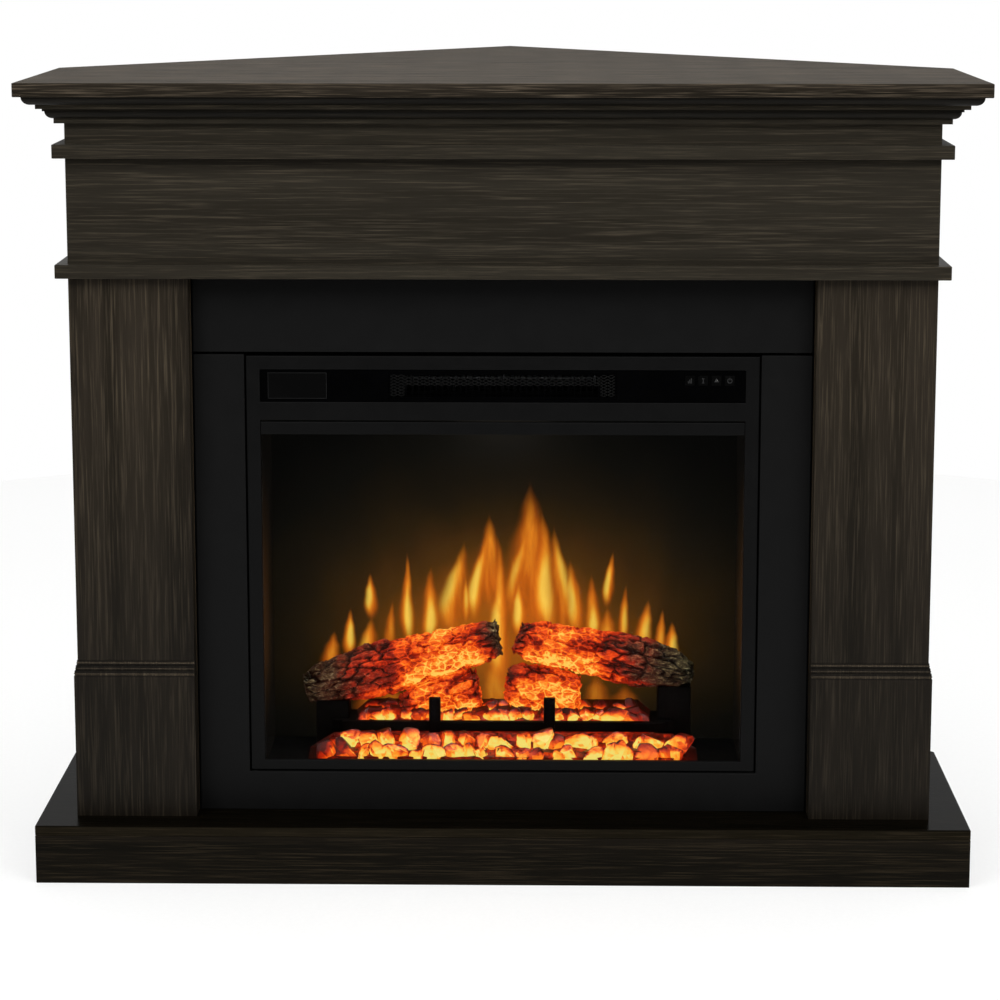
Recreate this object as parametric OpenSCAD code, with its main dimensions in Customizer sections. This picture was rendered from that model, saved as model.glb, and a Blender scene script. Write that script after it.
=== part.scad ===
// Corner fireplace: a wooden mantel with a pentagonal plan that stands in the corner of a room,
// and an electric fire insert with a log set, a flame screen and a small fan heater.
// Frame: millimetres, +Z up, the front looks along -Y, the origin is under the middle of the footprint.

/* [Mantel plan] */
// Length of the short shelf sides, which stand square to the front
side_depth = 300; // [285:5:340]
// Width of each pilaster
pilaster_w = 138; // [110:1:160]
// How far the shelf reaches out in front of the crown
shelf_lip = 5; // [2:1:12]
// How far the shelf reaches out at each side of the crown
shelf_side_lip = 9; // [4:1:16]
// How far the front of the base stands behind the front of the shelf
base_setback = 5; // [2:1:12]
// How far each side of the base stands inside the shelf
base_inset = 2; // [1:1:12]
// Space left between the case and the two room walls
wall_gap = 6; // [2:1:14]

/* [Mantel heights] */
// Thickness of the shelf board
shelf_t = 16; // [12:1:25]
// Height of the crown moulding under the shelf
crown_h = 32; // [30:1:40]
// Height of the plain neck between the crown and the upper strip
neck_h = 24; // [15:1:40]
// Height of the flat strip above the frieze
strip_h = 16; // [10:1:25]
// Height of the frieze field
frieze_h = 122; // [90:1:160]
// Height of the waist ledge under the frieze
ledge_h = 16; // [10:1:25]
// Height of the header panel that shows between the insert and the waist ledge
header_h = 90; // [60:1:130]
// Thickness of the base board
base_board_t = 12; // [10:1:20]
// Height of the apron under the base board
apron_h = 58; // [40:1:80]

/* [Mantel boards] */
// Thickness of the frieze and pilaster boards
front_t = 22; // [18:1:26]
// Thickness of the side panels, inner panels and insert shelf
panel_t = 18; // [15:1:22]
// Thickness of the aprons and of the rails along the walls
rail_t = 16; // [14:1:22]
// Height of the rails under the shelf
top_rail_h = 60; // [40:1:90]
// Width of the post where the two walls meet
post_w = 40; // [30:1:60]
// How far the strip and the ledge stand out from the frieze
moulding_reach = 13; // [8:1:20]
// How far the crown stands out from the frieze
crown_reach = 41; // [38:1:43]
// Radius of the crown's upper quarter round
top_round_r = 9.5; // [8:0.5:10]
// Height of the bead under the upper quarter round
bead_h = 5; // [3:0.5:5]
// How far the bead stands behind the upper quarter round
bead_quirk = 4; // [2:0.5:5]
// How far the step under the bead stands behind it
bead_step = 6.5; // [4:0.5:7]
// Height of the step under the bead
step_h = 3; // [2:0.5:4]
// Radius of the crown's lower quarter round
low_round_r = 8.7; // [7:0.1:9]
// How far the lower quarter round stands behind the step
low_round_quirk = 2.3; // [1:0.1:3]
// Height of the plinth blocks at the foot of the pilasters
plinth_h = 171; // [120:1:220]
// Height of one of the reeds on top of a plinth block
reed_h = 6; // [4:0.5:8]
// How far a plinth block stands out from its pilaster
plinth_proud = 4; // [3:0.5:8]
// Depth of the space between the inner panels
chase_depth = 208; // [200:1:240]

/* [Surround] */
// Thickness of the black surround
surround_t = 18; // [16:1:22]
// Width of the surround beside the insert
stile_w = 59; // [40:1:80]
// Shadow gap between the surround and the pilasters
surround_gap = 2; // [1:0.5:4]
// Height of the surround under the insert
surround_rail_h = 47; // [30:1:60]
// Groove between the surround frame and the header panel
header_gap = 3; // [2:0.5:6]
// How far the header panel reaches up behind the frieze
header_lap = 26; // [15:1:40]
// Width and depth of the square cleats that carry the surround
cleat_w = 20; // [16:1:24]
// Radius of the cleat screws
screw_r = 2; // [1.5:0.25:2.5]
// Distance of the end screws from the ends of a cleat
screw_end = 60; // [30:5:100]

/* [Insert front] */
// Width of the insert front
insert_w = 598; // [590:1:606]
// Height of the insert front
insert_h = 500; // [490:1:505]
// Gap around the insert front
insert_gap = 2; // [1:0.5:4]
// How far the insert front stands behind the surround
bezel_setback = 2; // [0:0.5:2]
// Depth of the insert's front frame
bezel_t = 14; // [13:0.5:16]
// Width of the frame's side bars
bezel_side_w = 16; // [13:0.5:20]
// Height of the frame's top bar
bezel_top_h = 16; // [12:0.5:20]
// Height of the glossy console strip
console_h = 38.5; // [37:0.5:42]
// Height of the bar under the console
mid_bar_h = 21.5; // [18:0.5:26]
// Height of the groove above the glass rail
groove_h = 2; // [1:0.5:4]
// Height of the rail on top of the glass
glass_rail_h = 15; // [12:0.5:18]
// Height of the frame's bottom bar
bezel_bottom_h = 12; // [10:0.5:18]
// Thickness of the glass
glass_t = 4; // [3:0.5:4]
// How far the glass reaches behind the frame bars
glass_lap = 4; // [3:0.5:6]
// Thickness of the lip in front of the glass and behind the console
lip_t = 6; // [5:0.5:7]

/* [Console] */
// How far the console face stands behind the frame
console_setback = 1.5; // [0.5:0.5:2]
// Seat behind the console's upper and lower edges
console_seat = 1.5; // [1:0.25:2]
// Width of the display window
display_w = 69; // [60:1:76]
// Height of the display window
display_h = 31; // [26:0.5:31]
// Distance from the console's left end to the display
display_inset = 9; // [8:0.5:16]
// Width of the warm air outlet
outlet_w = 266; // [240:2:280]
// Height of the warm air outlet
outlet_h = 31; // [28:0.5:31]
// Spacing of the outlet bars
outlet_pitch = 7; // [6:0.5:10]
// Side of a square key
key_w = 11.5; // [10:0.5:12.5]
// Spacing of the keys
key_pitch = 15.5; // [15:0.25:17]
// Distance from the console's right end to the last key's middle
key_inset = 18.5; // [16:0.5:22]
// Distance from the console's top edge down to the keys' middle
key_drop = 12.3; // [11.5:0.1:13]
// How far a key moves in
key_travel = 0.8; // [0.4:0.1:1]

/* [Insert body] */
// Depth of the insert behind its front face
insert_depth = 212; // [206:1:225]
// Thickness of the sheet metal
sheet_t = 1.2; // [0.8:0.1:2]
// How far the casing stands inside the front frame
casing_inset = 4; // [3:0.5:8]
// Distance from the front face to the flame screen
screen_depth = 125; // [120:1:132]
// Thickness of the flame screen
screen_t = 3; // [2:0.5:5]
// Distance from the flame screen back to the flame mask
mask_back = 15; // [12:1:20]
// Distance from the front face to the spinner's shaft
spinner_depth = 175; // [172:1:180]
// Height of the spinner's shaft over the casing base
spinner_h = 80; // [60:1:110]
// Radius of the spinner's shaft
spinner_shaft_r = 3; // [2.5:0.25:4]
// Reach of the spinner's blades from the shaft's axis
blade_reach = 24; // [18:1:26]
// Pairs of blades along the spinner
blade_stations = 14; // [8:1:18]
// Radius of the blower wheel
blower_r = 25; // [20:1:26]
// Length of the blower wheel
blower_w = 220; // [180:2:224]
// Blades around the blower wheel
blower_blades = 20; // [12:1:24]
// Radius of the blower's shaft
blower_shaft_r = 2.5; // [2:0.25:3]
// Distance from the front face to the blower's shaft
blower_depth = 112; // [108:1:125]
// Radius of the bore in the cord gland
cord_r = 4; // [3:0.25:4.5]
// Distance of the cord gland from the casing's side
gland_inset = 50; // [30:1:90]

/* [Log set] */
// Radius of the two large logs
log_r = 22; // [18:0.5:23]
// How much taller than deep a large log is
log_rise = 11; // [0:1:14]
// Radius of the two small logs
small_log_r = 16; // [14:0.5:18]
// How much taller than deep a small log is
small_log_rise = 18; // [8:1:20]
// Distance from the front face to the grate
grate_depth = 66; // [62:1:68]
// Half the width of the ember beds
ember_half_w = 234; // [210:2:250]
// Half the length of the grate bar
grate_half_w = 196; // [180:2:210]
// Height of the grate bar over the casing base
grate_h = 26; // [22:0.5:30]
// Ember lumps along the lower bed
ember_lumps = 17; // [9:1:21]
// Size of an ember lump
lump_size = 9.5; // [7:0.5:11]
// Height of the upper bed at its front
upper_bed_h = 34; // [28:1:38]
// Height of the stands under the outer ends of the large logs
stand_h = 80; // [72:1:88]
// Width of a stand
stand_w = 40; // [30:1:44]
// Distance of the left upright from the middle
left_upright_x = 83; // [70:1:120]
// Distance of the right upright from the middle
right_upright_x = 56; // [40:1:120]
// Width of an upright
upright_w = 14; // [8:1:18]
// Height of an upright
upright_h = 42; // [30:1:52]

/* [Boards and parts inside] */
// Length of the power board
power_board_w = 110; // [80:1:130]
// Depth of the power board
power_board_d = 80; // [60:1:84]
// Size of a flame-shaped slot in the mask
mask_slot_h = 140; // [100:2:160]
// Width of a flame-shaped slot in the mask
mask_slot_w = 24; // [16:1:30]
// Spacing of the slots in the mask
mask_pitch = 42; // [36:1:48]
// Space left at each end of a light strip
led_end = 26; // [18:1:40]
// Height of the capacitor on the power board
capacitor_h = 22; // [15:1:30]
// Width of a spinner blade
spinner_blade_w = 16; // [10:1:20]
// Depth of a blade of the blower wheel
blower_blade_d = 5; // [3:0.5:7]

/* [Hidden] */
$fn = 48;

// Clearances and small constant sizes
eps = 0.01;
running_fit = 0.05;
key_fit = 0.3;
seat_gap = 0.3;
board_t = 1.6;
blade_t = 1;
mask_t = 1;
key_flange = 1;
key_lip = 1;

// Plan of the mantel: the two room walls run at 45 degrees and meet behind the middle
insert_half_w = insert_w / 2;
surround_half_w = insert_half_w + insert_gap + stile_w;
opening_half_w = surround_half_w + surround_gap;
case_half_w = opening_half_w + pilaster_w;
shelf_half_w = case_half_w + crown_reach + shelf_side_lip;
total_d = side_depth + shelf_half_w;
front_y = -total_d / 2;
apex_y = total_d / 2;
case_front = front_y + shelf_lip + crown_reach;
board_back = case_front + front_t;
base_front = front_y + base_setback;
base_half_w = shelf_half_w - base_inset;

// Heights
base_h = apron_h + base_board_t;
plinth_top = base_h + plinth_h;
insert_z = base_h + surround_rail_h + insert_gap;
insert_top = insert_z + insert_h;
frame_top = insert_top + insert_gap;
header_z = frame_top + header_gap;
ledge_z = header_z + header_h;
frieze_z = ledge_z + ledge_h;
strip_z = frieze_z + frieze_h;
crown_z = strip_z + strip_h + neck_h;
shelf_z = crown_z + crown_h;

// Surround and insert front
surround_front = board_back;
surround_back = surround_front + surround_t;
header_top = ledge_z + header_lap;
bezel_front = surround_front + bezel_setback;
bezel_back = bezel_front + bezel_t;
window_half_w = insert_half_w - bezel_side_w;
console_top = insert_top - bezel_top_h;
console_z = console_top - console_h;
mid_bar_z = console_z - mid_bar_h;
rail_top = mid_bar_z - groove_h;
glass_top = rail_top - glass_rail_h;
glass_z = insert_z + bezel_bottom_h;
lip_back = bezel_front + lip_t;
glass_half_w = window_half_w + glass_lap;
pane_z = glass_z - glass_lap;
pane_top = rail_top - groove_h;
chase_back = board_back + chase_depth;

// Console parts
console_front = bezel_front + console_setback;
console_back = lip_back;
display_x = -window_half_w + display_inset + display_w / 2;
console_mid_z = console_z + console_h / 2;
key_z = console_top - key_drop;
key_x0 = window_half_w - key_inset - 3 * key_pitch;
board_front = console_back + 4;
key_back = board_front - key_travel - 0.1;

// Casing
casing_half_w = insert_half_w - casing_inset;
casing_front = bezel_back;
casing_rear = bezel_front + insert_depth;
casing_top_z = insert_top - casing_inset;
inside_half_w = casing_half_w - sheet_t;
inside_rear = casing_rear - sheet_t;
floor_z = insert_z + sheet_t;
ceiling_z = rail_top;
loft_z = ceiling_z + sheet_t;
loft_top = casing_top_z - sheet_t;
screen_y = bezel_front + screen_depth;
mask_y = screen_y + mask_back;
fire_side_t = 2;
fire_half_w = window_half_w;

// Spinner and blower
spinner_y = bezel_front + spinner_depth;
spinner_z = floor_z + spinner_h;
motor_r = 24;
motor_w = 26;
bush_w = 10;
bush_r = 8;
blower_y = bezel_front + blower_depth;
blower_z = (loft_z + loft_top) / 2;
housing_r = blower_r + 4;
housing_t = 1.5;
end_plate_t = 2;
blower_gap = 3;
housing_half_w = blower_w / 2 + blower_gap;
duct_front = bezel_back + seat_gap;
blower_shaft_end = housing_half_w + end_plate_t + 20;
fan_motor_w = 40;
fan_motor_r = 20;

// Log set, in depth from front to back
ember_front = bezel_back + 2;
grate_y = bezel_front + grate_depth;
grate_t = 8;
log_y = screen_y - log_r - 6;
bed_rear = screen_y - 6;
grate_z = floor_z + grate_h;

// Wall line in plan: the y of a line parallel to the room wall at a given distance inside it
function wall_y(x, inside) = apex_y - abs(x) - inside * sqrt(2);

// Pentagonal board with its back edges along the walls
module corner_board(half_w, y0, inside, t) {
    linear_extrude(t)
        polygon([
            [-half_w, y0],
            [half_w, y0],
            [half_w, wall_y(half_w, inside)],
            [0, wall_y(0, inside)],
            [-half_w, wall_y(half_w, inside)]
        ]);
}

module mirrored() {
    children();
    mirror([1, 0, 0]) children();
}

// Box given by its two opposite corners
module box(a, b) {
    translate(a) cube(b - a);
}

// Solid along X with a profile drawn in (y, z)
module along_x(x0, x1) {
    translate([x0, 0, 0]) rotate([90, 0, 90]) linear_extrude(x1 - x0) children();
}

// Cylinder along X
module rod_x(x0, x1, y, z, r) {
    translate([x0, y, z]) rotate([0, 90, 0]) cylinder(r = r, h = x1 - x0);
}

// Cylinder along Y
module rod_y(x, y0, y1, z, r) {
    translate([x, y0, z]) rotate([-90, 0, 0]) cylinder(r = r, h = y1 - y0);
}

/* ---- Mouldings: a profile drawn as [reach, height] runs along the front and both sides ---- */

// Front run, mitred at both ends
module front_run(half_w, y, reach) {
    intersection() {
        along_x(-half_w - reach, half_w + reach)
            translate([y, 0]) mirror([1, 0]) children();
        linear_extrude(shelf_z + eps)
            polygon([
                [-half_w - reach, y - reach],
                [half_w + reach, y - reach],
                [half_w, y],
                [-half_w, y]
            ]);
    }
}

// Right-hand run, mitred in front and cut along the wall behind
module side_run(half_w, y, reach) {
    intersection() {
        translate([half_w, apex_y, 0]) rotate([90, 0, 0])
            linear_extrude(apex_y - y + reach) children();
        linear_extrude(shelf_z + eps)
            polygon([
                [half_w, y],
                [half_w + reach, y - reach],
                [half_w + reach, wall_y(half_w + reach, wall_gap)],
                [half_w, wall_y(half_w, wall_gap)]
            ]);
    }
}

// Section of the crown from the top down: a quarter round, a bead, a step, a quarter round, a foot
module crown_section() {
    bead_reach = crown_reach - top_round_r - bead_quirk;
    step_reach = bead_reach - bead_step;
    foot_reach = step_reach - low_round_quirk - low_round_r;
    low_round_z = crown_z + crown_h - top_round_r - bead_h - step_h;
    foot_h = low_round_z - low_round_r - crown_z;
    translate([0, crown_z]) square([foot_reach - eps, foot_h]);
    quarter_round(foot_reach, low_round_z, low_round_r);
    translate([0, low_round_z - eps]) square([step_reach, step_h + 2 * eps]);
    translate([0, low_round_z + step_h]) square([bead_reach, bead_h]);
    quarter_round(crown_reach - top_round_r, shelf_z, top_round_r);
}

// Quarter round that bulges out and down from a point, filled back to the frieze
module quarter_round(x, z, r) {
    translate([0, z - r]) square([x, r]);
    intersection() {
        translate([x, z]) circle(r = r);
        translate([x - eps, z - r]) square([r + eps, r]);
    }
}

module strip_section(z, h) {
    translate([0, z]) square([moulding_reach, h]);
}

// Reeds that step out from the pilaster to the plinth block
module reed_section() {
    step = plinth_proud / 3;
    for (i = [0:2])
        translate([0, plinth_top + i * reed_h])
            square([(3 - i) * step - step / 2, reed_h]);
    for (i = [0:2])
        intersection() {
            translate([(3 - i) * step - step / 2 - eps, plinth_top + (i + 0.5) * reed_h])
                circle(r = step / 2);
            translate([0, plinth_top]) square([plinth_proud, 3 * reed_h]);
        }
}

/* ---- Mantel ---- */

module top_board() {
    color([0.31, 0.28, 0.25])
        translate([0, 0, shelf_z]) corner_board(shelf_half_w, front_y, 0, shelf_t);
}

module crown_front() {
    color([0.16, 0.145, 0.12]) front_run(case_half_w, case_front, crown_reach) crown_section();
}

module crown_returns() {
    color([0.16, 0.145, 0.12]) mirrored() side_run(case_half_w, case_front, crown_reach) crown_section();
}

module frieze_board() {
    color([0.2, 0.18, 0.15])
        box([-case_half_w, case_front, ledge_z], [case_half_w, board_back, shelf_z]);
}

module frieze_strip_front() {
    color([0.22, 0.2, 0.17])
        front_run(case_half_w, case_front, moulding_reach) strip_section(strip_z, strip_h);
}

module frieze_strip_returns() {
    color([0.22, 0.2, 0.17])
        mirrored() side_run(case_half_w, case_front, moulding_reach) strip_section(strip_z, strip_h);
}

module waist_ledge_front() {
    color([0.22, 0.2, 0.17])
        front_run(case_half_w, case_front, moulding_reach) strip_section(ledge_z, ledge_h);
}

module waist_ledge_returns() {
    color([0.22, 0.2, 0.17])
        mirrored() side_run(case_half_w, case_front, moulding_reach) strip_section(ledge_z, ledge_h);
}

// Right-hand side panel, from the front boards to the wall
module side_panel() {
    inner = case_half_w - panel_t;
    color([0.19, 0.17, 0.14])
        translate([0, 0, base_h])
            linear_extrude(shelf_z - base_h)
                polygon([
                    [inner, board_back],
                    [case_half_w, board_back],
                    [case_half_w, wall_y(case_half_w, wall_gap)],
                    [inner, wall_y(inner, wall_gap)]
                ]);
}

module side_panel_right() side_panel();
module side_panel_left() mirror([1, 0, 0]) side_panel();

// Front board of the right-hand pilaster, from the plinth block to the frieze
module pilaster() {
    color([0.19, 0.17, 0.14])
        box([opening_half_w, case_front, plinth_top], [case_half_w, board_back, ledge_z]);
}

module pilaster_right() pilaster();
module pilaster_left() mirror([1, 0, 0]) pilaster();

// Plinth block with its reeds: a thick front and a thin return along the side panel
module plinth_block() {
    outer = case_half_w + plinth_proud;
    color([0.15, 0.13, 0.1]) {
        box([opening_half_w, case_front - plinth_proud, base_h], [case_half_w, board_back, plinth_top]);
        translate([0, 0, base_h])
            linear_extrude(plinth_h)
                polygon([
                    [case_half_w - eps, case_front - plinth_proud],
                    [outer, case_front - plinth_proud],
                    [outer, wall_y(outer, wall_gap)],
                    [case_half_w, wall_y(case_half_w, wall_gap)],
                    [case_half_w, board_back],
                    [case_half_w - eps, board_back]
                ]);
        intersection() {
            front_run(case_half_w, case_front, plinth_proud) reed_section();
            box([opening_half_w, front_y, base_h], [shelf_half_w, board_back, shelf_z]);
        }
        side_run(case_half_w, case_front, plinth_proud) reed_section();
    }
}

module plinth_block_right() plinth_block();
module plinth_block_left() mirror([1, 0, 0]) plinth_block();

// Heights of the cleat screws
function screw_heights() = [base_h + screw_end, (base_h + header_top) / 2, header_top - screw_end];

// Space for the right-hand cleat screws: head in the cleat, shank into the inner panel
module screw_shapes(clearance) {
    head_x = opening_half_w - cleat_w;
    y = surround_back + cleat_w / 2;
    for (z = screw_heights()) {
        rod_x(head_x, opening_half_w + panel_t - 4 + clearance, y, z, screw_r + clearance);
        rod_x(head_x, head_x + 3 + clearance, y, z, 2 * screw_r + clearance);
    }
}

module inner_panels() {
    color([0.45, 0.36, 0.26])
        mirrored()
            difference() {
                box([opening_half_w, board_back, base_h],
                    [opening_half_w + panel_t, chase_back, shelf_z]);
                screw_shapes(0.1);
            }
}

module surround_cleats() {
    color([0.6, 0.48, 0.33])
        mirrored()
            difference() {
                box([opening_half_w - cleat_w, surround_back, base_h],
                    [opening_half_w, surround_back + cleat_w, header_top]);
                screw_shapes(0.1);
            }
}

module cleat_screws() {
    color([0.75, 0.7, 0.5]) mirrored() screw_shapes(0);
}

module base_board() {
    color([0.14, 0.12, 0.09])
        translate([0, 0, apron_h]) corner_board(base_half_w, base_front, 0, base_board_t);
}

module base_apron_front() {
    color([0.12, 0.1, 0.08])
        box([-base_half_w, base_front, 0], [base_half_w, base_front + rail_t, apron_h]);
}

module base_apron_sides() {
    inner = base_half_w - rail_t;
    color([0.12, 0.1, 0.08])
        mirrored()
            linear_extrude(apron_h)
                polygon([
                    [inner, base_front + rail_t],
                    [base_half_w, base_front + rail_t],
                    [base_half_w, wall_y(base_half_w, 0)],
                    [inner, wall_y(inner, 0)]
                ]);
}

// Rail that runs along one room wall, from a given x to the mitre joint in the middle
module wall_rail(x_end, inside, z, h) {
    x0 = seat_gap / 2;
    translate([0, 0, z])
        linear_extrude(h)
            polygon([
                [x0, wall_y(x0, inside)],
                [x_end, wall_y(x_end, inside)],
                [x_end, wall_y(x_end, inside + rail_t)],
                [x0, wall_y(x0, inside + rail_t)]
            ]);
}

// Back frame: rails under the shelf and under the base board, and a post where the walls meet
module back_frame() {
    post_y = wall_y(0, wall_gap + rail_t + seat_gap);
    post_half_w = post_w / 2;
    color([0.5, 0.4, 0.28]) {
        mirrored() {
            wall_rail(case_half_w - panel_t, wall_gap, shelf_z - top_rail_h, top_rail_h);
            wall_rail(base_half_w - rail_t, 0, 0, apron_h);
        }
        translate([0, 0, base_h])
            linear_extrude(shelf_z - base_h)
                polygon([
                    [0, post_y],
                    [post_half_w, post_y - post_half_w],
                    [post_half_w, post_y - post_half_w - post_w],
                    [-post_half_w, post_y - post_half_w - post_w],
                    [-post_half_w, post_y - post_half_w]
                ]);
    }
}

// Shelf that carries the insert between the inner panels
module insert_shelf() {
    color([0.5, 0.4, 0.28])
        box([-opening_half_w, surround_back + cleat_w, insert_z - panel_t],
            [opening_half_w, chase_back, insert_z]);
}

/* ---- Surround ---- */

module header_panel() {
    color([0.09, 0.09, 0.09])
        box([-surround_half_w, surround_front, header_z], [surround_half_w, surround_back, header_top]);
}

module surround_frame() {
    inner = insert_half_w + insert_gap;
    rail_z = base_h + surround_rail_h;
    color([0.09, 0.09, 0.09])
        difference() {
            box([-surround_half_w, surround_front, base_h], [surround_half_w, surround_back, frame_top]);
            box([-inner, surround_front - 1, rail_z], [inner, surround_back + 1, frame_top + 1]);
        }
}

/* ---- Insert front ---- */

module bezel_frame() {
    seat_half_w = window_half_w - console_seat;
    color([0.08, 0.08, 0.08])
        difference() {
            box([-insert_half_w, bezel_front, insert_z], [insert_half_w, bezel_back, insert_top]);
            // Pocket for the console and the opening behind it
            box([-window_half_w, bezel_front - 1, console_z], [window_half_w, lip_back, console_top]);
            box([-seat_half_w, bezel_front, console_z + console_seat],
                [seat_half_w, bezel_back + 1, console_top - console_seat]);
            // Window and the rebate that takes the glass
            box([-window_half_w, bezel_front - 1, glass_z], [window_half_w, bezel_back + 1, mid_bar_z]);
            box([-glass_half_w - seat_gap, lip_back, pane_z - seat_gap],
                [glass_half_w + seat_gap, bezel_back + 1, mid_bar_z]);
        }
}

// Middle of key number i
function key_x(i) = key_x0 + i * key_pitch;

// Rectangular hole through the console
module console_cut(x, z, w, h) {
    box([x - w / 2, console_front - 1, z - h / 2], [x + w / 2, console_back + 1, z + h / 2]);
}

module console_fascia() {
    color([0.02, 0.02, 0.025]) {
        difference() {
            box([-window_half_w + seat_gap, console_front, console_z + seat_gap],
                [window_half_w - seat_gap, console_back, console_top - seat_gap]);
            console_cut(display_x, console_mid_z, display_w + 2 * seat_gap, display_h + 2 * seat_gap);
            console_cut(0, console_mid_z, outlet_w + 2 * seat_gap, outlet_h + 2 * seat_gap);
            for (i = [0:3])
                console_cut(key_x(i), key_z, key_w + 2 * key_fit, key_w + 2 * key_fit);
        }
        // Posts that carry the two boards
        for (x = [display_x - display_w / 2 - 4, display_x + display_w / 2 + 4, key_x(0) - 12, key_x(3) + 12])
            rod_y(x, console_back - 1, board_front, console_mid_z, 2);
    }
}

// Tinted window over the display, held by a flange behind the console
module display_window() {
    color([0.05, 0.06, 0.08, 0.8]) {
        box([display_x - display_w / 2, console_front, console_mid_z - display_h / 2],
            [display_x + display_w / 2, console_back + eps, console_mid_z + display_h / 2]);
        box([display_x - display_w / 2 - 1.2, console_back, console_mid_z - display_h / 2 - 1.2],
            [display_x + display_w / 2 + 1.2, console_back + 1.5, console_mid_z + display_h / 2 + 1.2]);
    }
}

// Circuit board behind the display, with the digit block on it
module display_board() {
    half_h = console_h / 2 - console_seat - 1;
    color([0.05, 0.25, 0.12]) {
        box([display_x - display_w / 2 - 7, board_front, console_mid_z - half_h],
            [display_x + display_w / 2 + 7, board_front + board_t, console_mid_z + half_h]);
        box([display_x - 24, console_back + 1.5 + seat_gap, console_mid_z - 9],
            [display_x + 24, board_front + eps, console_mid_z + 9]);
    }
}

// Outlet grille: a frame with upright bars and a flange behind the console
module outlet_grille() {
    half_w = outlet_w / 2;
    half_h = outlet_h / 2;
    rim = 2;
    grille_front = console_front + 1;
    color([0.1, 0.1, 0.1]) {
        difference() {
            union() {
                box([-half_w, grille_front, console_mid_z - half_h],
                    [half_w, console_back + eps, console_mid_z + half_h]);
                box([-half_w - 1.2, console_back, console_mid_z - half_h - 1.2],
                    [half_w + 1.2, console_back + 1.5, console_mid_z + half_h + 1.2]);
            }
            box([-half_w + rim, grille_front - 1, console_mid_z - half_h + rim],
                [half_w - rim, console_back + 3, console_mid_z + half_h - rim]);
        }
        bars = floor((outlet_w / 2 - rim - 1) / outlet_pitch);
        for (i = [-bars:bars])
            box([i * outlet_pitch - 0.75, grille_front + 1, console_mid_z - half_h + rim - eps],
                [i * outlet_pitch + 0.75, console_back, console_mid_z + half_h - rim + eps]);
    }
}

// One key: a cap in its hole, a flange behind the console and a plunger towards its switch
module key(i) {
    flange_front = console_back + seat_gap;
    color([0.12, 0.12, 0.13]) {
        box([key_x(i) - key_w / 2, console_front - 0.2, key_z - key_w / 2],
            [key_x(i) + key_w / 2, flange_front + eps, key_z + key_w / 2]);
        box([key_x(i) - key_w / 2 - key_lip, flange_front, key_z - key_w / 2 - key_lip],
            [key_x(i) + key_w / 2 + key_lip, flange_front + key_flange, key_z + key_w / 2 + key_lip]);
        rod_y(key_x(i), flange_front + key_flange - eps, key_back - 1, key_z, 2);
    }
}

module key_brightness() key(0);
module key_timer() key(1);
module key_heat() key(2);
module key_power() key(3);

// Circuit board behind the keys, with one switch for each
module key_board() {
    half_h = console_h / 2 - console_seat - 1;
    color([0.05, 0.25, 0.12]) {
        box([key_x(0) - 15, board_front, console_mid_z - half_h],
            [key_x(3) + 14.5, board_front + board_t, console_mid_z + half_h]);
        for (i = [0:3])
            rod_y(key_x(i), key_back, board_front + eps, key_z, 2.5);
    }
}

module glass_pane() {
    color([0.5, 0.55, 0.6, 0.25])
        box([-glass_half_w, lip_back, pane_z], [glass_half_w, lip_back + glass_t, pane_top]);
}

module glass_rail() {
    color([0.08, 0.08, 0.08])
        box([-window_half_w + seat_gap, bezel_front, glass_top],
            [window_half_w - seat_gap, lip_back, rail_top]);
}

// Six clips behind the frame that press the glass to its lip
module glass_clips() {
    clip_w = 20;
    glass_back = lip_back + glass_t;
    mid_z = (pane_z + pane_top) / 2;
    span = (pane_top - pane_z) * 0.36;
    color([0.55, 0.55, 0.55])
        mirrored()
            for (z = [mid_z - span, mid_z, mid_z + span])
                box([glass_half_w - 3, glass_back, z - clip_w / 2],
                    [glass_half_w + seat_gap, bezel_back, z + clip_w / 2]);
}

/* ---- Insert body ---- */

module casing_base() {
    color([0.15, 0.15, 0.15])
        box([-casing_half_w, casing_front, insert_z], [casing_half_w, casing_rear, floor_z]);
}

module casing_top() {
    color([0.15, 0.15, 0.15])
        box([-casing_half_w, casing_front, loft_top], [casing_half_w, casing_rear, casing_top_z]);
}

module casing_sides() {
    color([0.15, 0.15, 0.15])
        mirrored()
            box([inside_half_w, casing_front, floor_z], [casing_half_w, casing_rear, loft_top]);
}

// Gland position on the casing back
gland_x = -inside_half_w + gland_inset;
gland_z = (loft_z + loft_top) / 2;
gland_hole_r = cord_r + 4;

module casing_back() {
    slot_w = 3.5;
    slot_h = 44;
    slot_pitch = 9;
    color([0.15, 0.15, 0.15])
        difference() {
            box([-inside_half_w, inside_rear, floor_z], [inside_half_w, casing_rear, loft_top]);
            rod_y(gland_x, inside_rear - 1, casing_rear + 1, gland_z, gland_hole_r);
            // Air inlet slots behind the blower
            for (i = [-10:10])
                box([i * slot_pitch - slot_w / 2, inside_rear - 1, gland_z - slot_h / 2],
                    [i * slot_pitch + slot_w / 2, casing_rear + 1, gland_z + slot_h / 2]);
        }
}

// Rubber gland for the supply cord, clipped into the casing back
module cord_gland() {
    color([0.05, 0.05, 0.05])
        difference() {
            union() {
                rod_y(gland_x, inside_rear - 2, casing_rear + eps, gland_z, gland_hole_r - seat_gap);
                rod_y(gland_x, casing_rear, casing_rear + 5, gland_z, gland_hole_r + 3);
                rod_y(gland_x, inside_rear - 5, inside_rear - seat_gap, gland_z, gland_hole_r + 1);
            }
            rod_y(gland_x, inside_rear - 6, casing_rear + 6, gland_z, cord_r);
        }
}

// Plate between the firebox and the heater compartment
module firebox_ceiling() {
    color([0.12, 0.12, 0.12])
        box([-inside_half_w, bezel_back, ceiling_z], [inside_half_w, inside_rear, loft_z]);
}

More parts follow.
